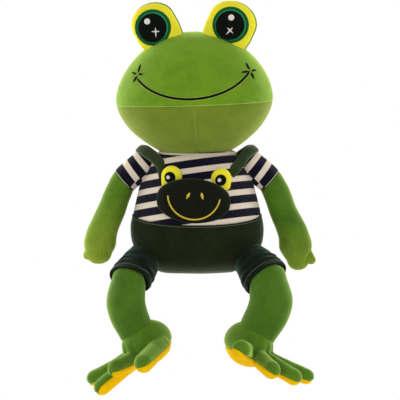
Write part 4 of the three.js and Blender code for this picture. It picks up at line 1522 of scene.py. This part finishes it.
    def build_strap(self, side: Side) -> None:
        """Builds one padded strap from under the bib's eye over the shoulder to the back of the waist."""
        shares = np.array(self.strap_shares)
        sizes = np.array([side.sign * 80.3, 80.0, 185.05])
        at = through(shares * sizes, np.linspace(0, len(shares) - 1, 90))
        at[:, 0] += self.aside * (side is Side.LEFT) * np.clip(1 - np.arange(90) / 30, 0, 1)
        at[:, 0] += self.strap_pull * groove(np.arange(90) - 12.0, 9.0)
        along = unit(np.gradient(at, axis=0))
        out = (at - [side.sign * 45, 0, 120]) / [2500, 2500, 3600]
        out = unit(out - along * (out * along).sum(axis=1, keepdims=True))
        across = np.cross(along, out)
        turn = np.radians(np.arange(28) / 28 * 360)
        flat = np.sign(np.cos(turn)) * np.abs(np.cos(turn)) ** 0.8 * self.strap_half_width
        thick = np.sign(np.sin(turn)) * np.abs(np.sin(turn)) ** 0.75 * self.strap_half_thickness
        rings = at[:, None] + across[:, None] * flat[:, None] + out[:, None] * thick[:, None]
        rings = rings + ring_normals(rings) * (softness(rings, 18, 41) * 0.9)[..., None]
        piece = shell(f"shoulder_strap_{side.value}", rings)
        dress(piece, STRAP, "torso", (f"strap_{side.value}",))


@dataclass(frozen=True)
class Hand:
    """How one arm ends: its length and finish, its last two stations, its finger and its creases.

    The stations are shares as the arm's are. The rest is told across and up, outwards from the
    frog's middle, and the finger and each crease hold their two ends.
    """

    length: float
    finish: Velour
    stations: tuple
    finger: tuple[tuple[float, float], tuple[float, float]]
    finger_radius: float
    creases: tuple


HANDS = {
    Side.RIGHT: Hand(
        158, ARM, ((0.417, 0.75, 1.15, 0.85), (0.43, 0.83, 0.98, 0.72)),
        ((158.0, 45.0), (165.0, 24.0)), 6.3,
        (((145.5, 40.0), (146.5, 30.0)), ((139.5, 36.0), (141.0, 27.0)), ((133.5, 40.0), (134.0, 31.0))),
    ),
    Side.LEFT: Hand(
        164, ARM_LEFT, ((0.415, 0.745, 1.19, 0.86), (0.437, 0.872, 0.8, 0.66)),
        ((160.0, 40.0), (172.0, 17.2)), 7.0,
        (((162.0, 14.0), (168.0, 28.0)), ((126.0, 54.0), (131.0, 46.0))),
    ),
}


@dataclass(frozen=True)
class Arm:
    """One arm: a striped sleeve, and a green mitten arm with one small finger."""

    side: Side
    shoulder: tuple[float, float, float] = (80.302, 0.0, 160.0)
    radius: float = 21
    forward: float = 6
    sleeve: float = 36
    sleeve_room: float = 0.9
    tuck: float = 2.2  # how far the arm is pressed in where the sleeve covers it
    crease: float = 1.7
    shares: tuple = (
        (0, 0, 1, 1), (0.19, 0.165, 0.93, 0.93), (0.295, 0.415, 0.98, 0.96), (0.385, 0.62, 1.06, 0.95),
    )

    def limb(self) -> Limb:
        """The arm without its finger."""
        hand = HANDS[self.side]
        x, y, z = self.shoulder
        stations = []
        for out, down, width, depth in (*self.shares, *hand.stations):
            at = self.side.sign * (x + out * hand.length), y - self.forward * down, z - down * hand.length
            stations.append((at, width * self.radius, depth * self.radius))
        return Limb(tuple(stations))

    def hem(self) -> tuple[Array, Array]:
        """A point and the direction of the plane where the sleeve ends."""
        _, (out, down, _, _) = self.shares[:2]
        along = unit(np.array([self.side.sign * out, 0.0, -down]))
        x, y, z = self.shoulder
        return np.array([self.side.sign * x, y, z]) + along * self.sleeve, along

    def build(self) -> None:
        """Builds the arm, cut off just inside the sleeve, and the sleeve."""
        word, sign = self.side.value, self.side.sign
        limb = self.limb()
        point, along = self.hem()
        hand = HANDS[self.side]
        level = limb.stations[-2][0][1]
        ends = [(sign * out, level, up) for out, up in hand.finger]
        finger = Limb(tuple((end, hand.finger_radius, hand.finger_radius) for end in ends))
        skin = fused(f"arm_{word}", [limb.capped(48, 60), finger.capped(24, 12)])
        arm = cut(skin, point - along * 6, along, f"green_arm_{word}")
        bpy.data.objects.remove(skin)

        def change(places: Array) -> Array:
            """Tucks the arm under the sleeve, presses its creases in and leaves it uneven."""
            beyond = (places - point) @ along
            tuck = -self.tuck * (1 - np.clip(beyond / 2.5, 0, 1))
            return tuck + softness(places, 22, 50 + sign) * 0.9 - self.creases(places) * self.crease

        nodes = f"arm_skin_{word}", f"arm_stuffing_{word}"
        dress(pressed(arm, change), hand.finish, f"arm_{word}", nodes)
        self.build_sleeve(limb, point, along)

    def creases(self, places: Array) -> Array:
        """Depth shares of the short creases in the hand's front."""
        depth = np.zeros(len(places))
        flat = places[:, [0, 2]] * [self.side.sign, 1]
        for ends in HANDS[self.side].creases:
            start, end = np.array(ends)
            along = np.clip((flat - start) @ (end - start) / ((end - start) @ (end - start)), 0, 1)
            away = np.linalg.norm(flat - start - along[:, None] * (end - start), axis=1)
            depth = np.maximum(depth, groove(away, 1.8))
        return depth / (1 + np.exp(places[:, 1] / 3))

    def build_sleeve(self, limb: Limb, point: Array, along: Array) -> None:
        """Builds the sleeve, its hem turned in, reaching from the shirt to the arm."""
        word = self.side.value
        rings, run = limb.rings(np.linspace(0, 1.5, 60), 64, self.sleeve_room)
        beyond = (rings - point) @ along
        last = int(np.argmax(beyond.mean(axis=1) > -1.0))
        rings, run = rings[: last + 1], run[: last + 1]
        rings = squared_off(rings, run, point, along, 3)
        rings = rings + ring_normals(rings) * (softness(rings, 16, 60) * 0.8)[..., None]
        hem = rolled_in(rings[-1], along, ((0.995, 0.7), (0.965, 1.0), (0.93, 0.5), (0.9, -1.5), (0.87, -5)))
        turns = np.radians([82, 70, 58, 46, 34, 22, 11])
        ball = rings[0].mean(axis=0)
        back = unit(limb.spine(np.array([0.0]))[1][0] * -1) * (self.radius + self.sleeve_room)
        cap = [ball + (rings[0] - ball) * math.cos(t) + back * math.sin(t) for t in turns]
        stack = np.concatenate([np.stack(cap), rings, np.stack(hem)])
        angles = np.arange(65) / 64 * 2 * math.pi
        length = np.concatenate([run[-1] + self.radius * turns, run[-1] - run, [-0.7, -1, -1, -1, -1]])
        shift = self.underarm(angles) * STRIPE_REPEAT / 2
        v = STRIPE_START - STRIPE_REPEAT + length[:, None] + shift[None]
        u = np.repeat((angles * self.radius)[None], len(stack), 0)
        piece = shell(f"striped_sleeve_{word}", stack, np.stack([u, v], axis=-1) * MM)
        start = np.array([self.side.sign * (self.shoulder[0] - 12), 0, self.shoulder[2] + 4])
        bend = Bend(("torso", f"arm_{word}"), start, point - along * 12)
        dress(piece, STRIPES, bend, (f"sleeve_{word}",))

    def underarm(self, angles: Array) -> Array:
        """One on the sleeve's under panel, nought on its top panel."""
        turn = np.degrees(angles) % 360
        if self.side is Side.RIGHT:
            return ((turn > 120) & (turn < 236)).astype(float)
        return ((turn > 304) | (turn < 60)).astype(float)


@dataclass(frozen=True)
class Leg:
    """One leg: a short trouser leg, a shin, and a foot with four toes and a yellow sole.

    A toe holds its direction in degrees from straight ahead towards the other foot, and its tip's
    reach and height. A toe's root holds its thickness, its reach and its height, and the last
    toe's root holds its direction, its reach and its thickness.
    """

    side: Side
    hip: tuple[float, float, float]
    knee: tuple[float, float, float]
    ankle: tuple[float, float, float]
    fullness: float
    turn: float
    drop: float
    roll: float
    toes: tuple[tuple[float, float, float], ...]
    knee_radius: float = 25.5
    calf_radius: float = 29
    ankle_radius: float = 26.5
    calf_out: float = 5
    hip_neck: float = 25
    cuff_turn: float = 0.38
    cuff_short: float = 2
    cuff_flare: float = 0
    ankle_height: float = 50
    mouth_room: float = 5.4
    slack: float = 3.6
    stitch: float = 5.5  # how far the hem's stitching lies above the hem
    hollow: float = 10.5  # how far the shin is pressed in behind the knee, where its cloth folds
    hidden: float = 10  # how far it is pressed in inside the trouser leg
    hem_tuck: float = 2.4  # how far it is pressed in at the hem
    seam: float = 10
    seam_depth: float = 1.3
    valley: float = 3.2
    instep: tuple[float, float, float] = (34.6, 40.2, 32.6)
    instep_at: tuple[float, float, float] = (-4.2, 3.6, 25.2)
    toe_radii: tuple[float, float, float, float] = (11.7, 12.25, 13.05, 13.95)
    toe_root: tuple[float, float, float] = (13.5, 24, 15)
    last_root: tuple[float, float, float] = (48, 24, 13.5)
    toe_radius: float = 13.3

    def calf(self) -> Array:
        """The middle of the shin's swelling."""
        drop = self.ankle[2] - self.knee[2]
        back = self.ankle[1] - self.knee[1]
        return np.array(self.knee) + [self.side.sign * self.calf_out, back / 2, drop / 2]

    def build(self) -> None:
        """Builds the trouser leg, the shin and the foot."""
        self.build_trouser()
        self.build_shin()
        self.build_foot()

    def hem_plane(self) -> tuple[Array, Array]:
        """A point and the direction of the plane where the trouser leg ends."""
        thigh_along = unit(np.array(self.knee) - self.hip)
        shin_along = unit(self.calf() - self.knee)
        normal = unit(thigh_along * (1 - self.cuff_turn) + shin_along * self.cuff_turn)
        normal = unit(normal + [self.side.sign * self.cuff_flare, 0, 0])
        return np.array(self.knee) - normal * self.cuff_short, normal

    def build_shin(self) -> None:
        """Builds the shin, its round ends hidden in the trouser leg and the foot."""
        word, full = self.side.value, self.fullness
        stations = (
            (self.knee, self.knee_radius),
            (tuple(self.calf()), self.calf_radius),
            (self.ankle, self.ankle_radius),
        )
        rings = Limb(tuple((at, radius * full, radius * full) for at, radius in stations)).capped(72, 56)
        point, normal = self.hem_plane()
        beyond = (rings - point) @ normal
        normals = ring_normals(rings)
        hollow = eased((54 - beyond) / 28) * np.clip(normals[..., 1] * 1.25, 0, 1) * self.hollow
        hidden = np.clip((-4 - beyond) / 14, 0, 1) * self.hidden
        tuck = np.clip((2 - beyond) / 6, 0, 1) * self.hem_tuck + hidden + hollow
        rings = rings + normals * (softness(rings, 30, 70 + self.side.sign) - 0.2 - tuck)[..., None]
        nodes = f"shin_skin_{word}", f"shin_stuffing_{word}"
        dress(shell(f"shin_{word}", rings), LIMB, f"shin_{word}", nodes)

    def ruffle(self, rings: Array, away: Array, mouth: float) -> Array:
        """How far the trouser's cloth stands out in folds and in slack behind the knee.

        Args:
            rings: the cloth's rings.
            away: how far each point lies above the hem.
            mouth: the hem's radius.

        Returns:
            Millimetres outwards at each point.
        """
        sign = self.side.sign
        outward = (rings - rings.mean(axis=1, keepdims=True)) @ np.array([sign, 0, 0.5]) / mouth
        inner = np.sin(away / 2.4 + softness(rings, 20, 81) * 2.5) * np.exp(-((away - 14) / 14) ** 2)
        outer = np.sin(away / 2.1 + softness(rings, 24, 83) * 2) * np.exp(-((away - 22) / 13) ** 2)
        folds = inner * np.clip(-outward, 0, 1) * 1.8
        folds += outer * np.clip(outward, 0, 1) ** 2 * 1.5
        hem_line = -groove(away - self.stitch, 1.3) * 0.6
        uneven = softness(rings, 18, 80 + sign) * 1.2
        normals = ring_normals(rings)
        behind = np.clip(normals[..., 1] - 0.5 * normals[..., 2], 0, 1)
        slack = np.exp(-((away / 16) ** 2)) * behind * self.slack
        return folds + hem_line + uneven + slack

    def build_trouser(self) -> None:
        """Builds the trouser leg, open at its hem, reaching from the seat to the thigh."""
        word = self.side.value
        hip, knee = np.array(self.hip), np.array(self.knee)
        mouth = self.knee_radius * self.fullness + self.mouth_room
        stations = (hip, self.hip_neck), ((hip + knee) / 2, (self.hip_neck + 2 * mouth) / 3), (knee, mouth)
        limb = Limb(tuple((tuple(at), radius, radius) for at, radius in stations))
        point, normal = self.hem_plane()
        rings, run = limb.rings(np.linspace(-0.25, 1.95, 76), 96, 0.4)
        rings = squared_off(rings, run, point, normal, 2.2)
        away = -((rings - point) @ normal)
        rings = rings + ring_normals(rings) * self.ruffle(rings, away, mouth)[..., None]

        def ring_at(height: float, size: float) -> Array:
            """The cloth's ring that lies this far above the hem, made wider or narrower."""
            ring = rings[int(np.argmin(np.abs(away.mean(axis=1) - height)))]
            return rolled_in(ring, normal, ((size, 0),))[0]

        lining = rolled_in(rings[-1], normal, ((0.995, 0.9), (0.965, 1.2), (0.93, 0.6), (0.92, -3)))
        lining += [ring_at(height, size) for height, size in ((9, 0.91), (16, 0.9), (25, 0.88))]
        piece = shell(f"trouser_leg_{word}", np.concatenate([rings, np.stack(lining)]))
        along = unit(knee - hip)
        bend = Bend(("torso", f"thigh_{word}"), hip + along * 4, hip + along * 34)
        nodes = f"shorts_leg_{word}", f"thigh_stuffing_{word}"
        dress(piece, LEGWEAR, bend, nodes)
        thread = thread_round(f"hem_stitch_{word}", ring_at(self.stitch, 1.015), 0.55)
        dress(thread, SEAM_THREAD, f"thigh_{word}")

    def foot_placement(self) -> Matrix:
        """From the foot's own frame, toes forward on a level sole, to the row's."""
        sign = self.side.sign
        return (
            Matrix.Translation(self.ankle)
            @ Matrix.Rotation(math.radians(sign * self.turn), 4, "Z")
            @ Matrix.Rotation(math.radians(self.drop), 4, "X")
            @ Matrix.Rotation(math.radians(sign * self.roll), 4, "Y")
            @ Matrix.Translation((0, 0, -self.ankle_height))
        )

    def seam_rise(self, places: Array) -> Array:
        """How far the sole's seam rises with the nearest toes, at places in the foot's own frame."""
        _, out, _ = self.toe_root
        angle = np.degrees(np.arctan2(-self.side.sign * places[:, 0], -places[:, 1]))
        away = np.clip(np.hypot(places[:, 0], places[:, 1]) - out, 0, None)
        fans = [fan for fan, _, _ in self.toes]
        slopes = [(height - self.toe_radius) / (reach - out) for _, reach, height in self.toes]
        at = [fans[0] - 45, fans[0] - 15, *fans, fans[-1] + 15, fans[-1] + 45]
        return away * np.interp(angle, at, [0, slopes[0], *slopes, slopes[-1], 0])

    def bend(self, piece: bpy.types.Object, way: int) -> None:
        """Lifts the piece so that its seam rises with the toes, or lays the seam level again."""
        places = vertex_places(piece.data)
        places[:, 2] += way * self.seam_rise(places)
        place_vertices(piece.data, places)

    def valleys(self, places: Array, over: Array) -> Array:
        """Depth shares of the valleys that run from between the toes up the foot's top."""
        angle = np.arctan2(-self.side.sign * places[:, 0], -places[:, 1])
        away = np.hypot(places[:, 0], places[:, 1])
        fans = np.radians([fan for fan, _, _ in self.toes])
        reach = np.clip((away - 30) / 10, 0, 1) * np.clip((66 - away) / 12, 0, 1)
        reach = reach * np.clip((over - 4) / 4, 0, 1)
        middles = (fans[1:] + fans[:-1]) / 2
        return reach * np.max([groove(away * np.sin(angle - middle), 3.2) for middle in middles], axis=0)

    def build_foot(self) -> None:
        """Builds the foot and its sole, sewn along one seam that rises with the toes."""
        word, sign = self.side.value, self.side.sign
        toes = [toe.capped(32, 26) for toe in self.toe_limbs()]
        whole = fused(f"foot_{word}", [self.instep_rings(), *toes])
        seam = np.array([0.0, 0.0, self.seam])

        def sewn(places: Array) -> Array:
            """Draws the seam and the valleys in and leaves the pile uneven."""
            over = places[:, 2] - self.seam - self.seam_rise(places)
            uneven = softness(places, 18, 90 + sign) * 0.7 - groove(over, 1.7) * self.seam_depth
            return uneven - self.valleys(places, over) * self.valley

        pressed(whole, sewn)
        self.bend(whole, -1)
        for name, up, finish, slot, nodes in (
            ("top", 1, FOOT, Slot.GREEN, (f"foot_skin_{word}", f"foot_stuffing_{word}")),
            ("bottom", -1, SOLE, Slot.YELLOW, (f"foot_sole_{word}",)),
        ):
            edge = seam + [0, 0, up * SEWN / 2]
            part = cut(whole, edge, np.array([0, 0, float(up)]), f"foot_{name}_{word}")
            self.bend(part, 1)
            dress(moved(part, self.foot_placement()), finish, f"foot_{word}", nodes)
        bpy.data.objects.remove(whole)

    def instep_rings(self) -> Array:
        """The round form that the toes grow out of, in the foot's own frame."""
        turn = np.radians(np.arange(48) * 7.5)
        wide, deep, high = self.instep
        rings = []
        for level in np.radians(np.linspace(-84, 84, 29)):
            out, up = math.cos(level), math.sin(level)
            ring = [wide * out * np.cos(turn), deep * out * np.sin(turn), np.full(48, high * up)]
            rings.append(np.stack(ring, axis=-1))
        across, back, above = self.instep_at
        return np.stack(rings) + np.array([self.side.sign * across, back, above])

    def toe_limbs(self) -> list[Limb]:
        """The four toes, from their roots in the instep to their tips, in the foot's own frame."""
        wide, out, up = self.toe_root
        limbs = []
        for k, ((fan, reach, height), radius) in enumerate(zip(self.toes, self.toe_radii)):
            last = k == len(self.toes) - 1
            root_fan, root_out, girth = self.last_root if last else (fan, out, wide)
            root = self.toe_way(root_fan) * root_out + [0, 0, up]
            tip = self.toe_way(fan) * reach + [0, 0, height]
            stations = (root, girth), ((root + tip) / 2, radius), (tip, radius)
            limbs.append(Limb(tuple((tuple(at), size, size) for at, size in stations), (0, 0, 1)))
        return limbs

    def toe_way(self, fan: float) -> Array:
        """A level direction, told in degrees from straight ahead towards the other foot."""
        angle = math.radians(fan)
        return np.array([-self.side.sign * math.sin(angle), -math.cos(angle), 0.0])


# The studio


def shown_directly(nodes: Nodes) -> bpy.types.NodeSocket:
    """One for rays that show a thing to the camera, in a mirror or through glass too, else nought."""
    ray = nodes.add("ShaderNodeLightPath")
    seen = nodes.math("MAXIMUM", ray.outputs["Is Camera Ray"], ray.outputs["Is Glossy Ray"])
    return nodes.math("MAXIMUM", seen, ray.outputs["Is Transmission Ray"])


@dataclass(frozen=True)
class Studio:
    """A pale floor well below the hanging feet, soft lights, and the photograph's camera.

    Its sizes are metres, but the lens is millimetres.
    """

    floor: float = -0.29
    target: tuple[float, float, float] = (0.0045, 0.0, 0.10725)
    distance: float = 2.8
    elevation: float = 6.0
    lens: float = 168.0
    ambient: float = 0.55
    aim: float = 0.12  # the height that the lamps are turned to
    floor_half: float = 14.0

    def build(self) -> None:
        """Builds the floor, the world, the lights and the camera."""
        self.build_floor()
        self.build_world()
        lights = (
            ("key", (-0.7, -1.5, 1.3), 1.3, 8.0),
            ("fill", (1.0, -1.4, 0.4), 1.3, 5.0),
            ("rim_right", (-1.2, 0.75, 0.5), 1.0, 22.0),
            ("rim_left", (1.2, 0.75, 0.5), 1.0, 16.0),
            ("rim_top", (0.0, 0.9, 1.2), 1.0, 8.0),
        )
        for name, at, size, power in lights:
            data = bpy.data.lights.new(name, "AREA")
            data.energy, data.size = power, size
            lamp = linked(name, data)
            lamp.location = at
            aim = Vector((0, 0, self.aim)) - lamp.location
            lamp.rotation_euler = aim.to_track_quat("-Z", "Y").to_euler()
        self.build_camera()

    def build_camera(self) -> None:
        """Builds the camera at the photograph's viewing angle."""
        data = bpy.data.cameras.new("camera")
        data.lens, data.sensor_width = self.lens, 36
        camera = linked("camera", data)
        tilt = math.radians(self.elevation)
        x, y, z = self.target
        camera.location = (x, y - self.distance * math.cos(tilt), z + self.distance * math.sin(tilt))
        camera.rotation_euler = (math.pi / 2 - tilt, 0, 0)
        bpy.context.scene.camera = camera

    def build_floor(self) -> None:
        """Builds a plain floor that takes the shadow and turns to plain white further out."""
        mesh = bpy.data.meshes.new("floor")
        half = self.floor_half
        corners = [(x * half, y * half, 0) for x, y in ((-1, -1), (1, -1), (1, 1), (-1, 1))]
        mesh.from_pydata(corners, [], [(0, 1, 2, 3)])
        floor = linked("floor", mesh)
        floor.location = (0, 0, self.floor)
        made = bpy.data.materials.new("floor_paper")
        nodes = bare_nodes(made)
        place = nodes.add("ShaderNodeTexCoord").outputs["Object"]
        away = nodes.add("ShaderNodeVectorMath", {0: place}, operation="LENGTH").outputs["Value"]
        far = nodes.add("ShaderNodeMapRange", {0: away, 1: 0.15, 2: 0.42}, interpolation_type="SMOOTHSTEP")
        paper = nodes.add("ShaderNodeBsdfDiffuse", {"Color": (0.9, 0.9, 0.9, 1)})
        white = nodes.add("ShaderNodeEmission", {"Color": (1, 1, 1, 1), "Strength": 1.0})
        share = nodes.math("MULTIPLY", shown_directly(nodes), far.outputs[0])
        mixed = nodes.add("ShaderNodeMixShader", {0: share, 1: paper.outputs[0], 2: white.outputs[0]})
        nodes.add("ShaderNodeOutputMaterial", {0: mixed.outputs[0]})
        mesh.materials.append(made)

    def build_world(self) -> None:
        """Lights the frog evenly, and shows plain white behind it."""
        world = bpy.data.worlds.new("studio")
        nodes = bare_nodes(world)
        shown = shown_directly(nodes)
        level = nodes.add("ShaderNodeMapRange", {0: shown, 3: self.ambient, 4: 1.0}).outputs[0]
        background = nodes.add("ShaderNodeBackground", {"Color": (1, 1, 1, 1), "Strength": level})
        nodes.add("ShaderNodeOutputWorld", {0: background.outputs[0]})
        bpy.context.scene.world = world
        bpy.context.scene.view_settings.view_transform = "Standard"


def main() -> None:
    """Builds the frog in order, then the studio."""
    logging.basicConfig(level=logging.INFO, format="%(name)s: %(message)s")
    head, torso = Head(), Torso()
    head.build()
    torso.build()
    Bib(torso).build()
    for side in Side:
        EyePod(side, head).build()
        Arm(side).build()
    Leg(
        Side.RIGHT,
        hip=(-76.506, -26.531, 24),
        knee=(-98.506, -93.531, 1),
        ankle=(-90.006, -89.531, -74),
        fullness=0.98,
        turn=44.3,
        drop=21.3,
        roll=19.2,
        toes=((-44.5, 88.3, 14.4), (-5, 94.8, 8.2), (11, 72.7, 22.6), (47, 93.8, 16.8)),
        last_root=(92, 32, 15.5),
    ).build()
    Leg(
        Side.LEFT,
        hip=(76.506, -26.531, 24),
        knee=(102.506, -93.531, 1),
        ankle=(90.006, -89.531, -74),
        fullness=1.1,
        turn=33,
        drop=9,
        roll=20,
        toes=((-36, 92, 14.9), (-10.5, 93.8, 11.2), (11, 81.9, 9.7), (48, 81, 21.7)),
        cuff_short=3.5,
        cuff_flare=0.22,
    ).build()
    Studio().build()


if __name__ == "__main__":
    main()
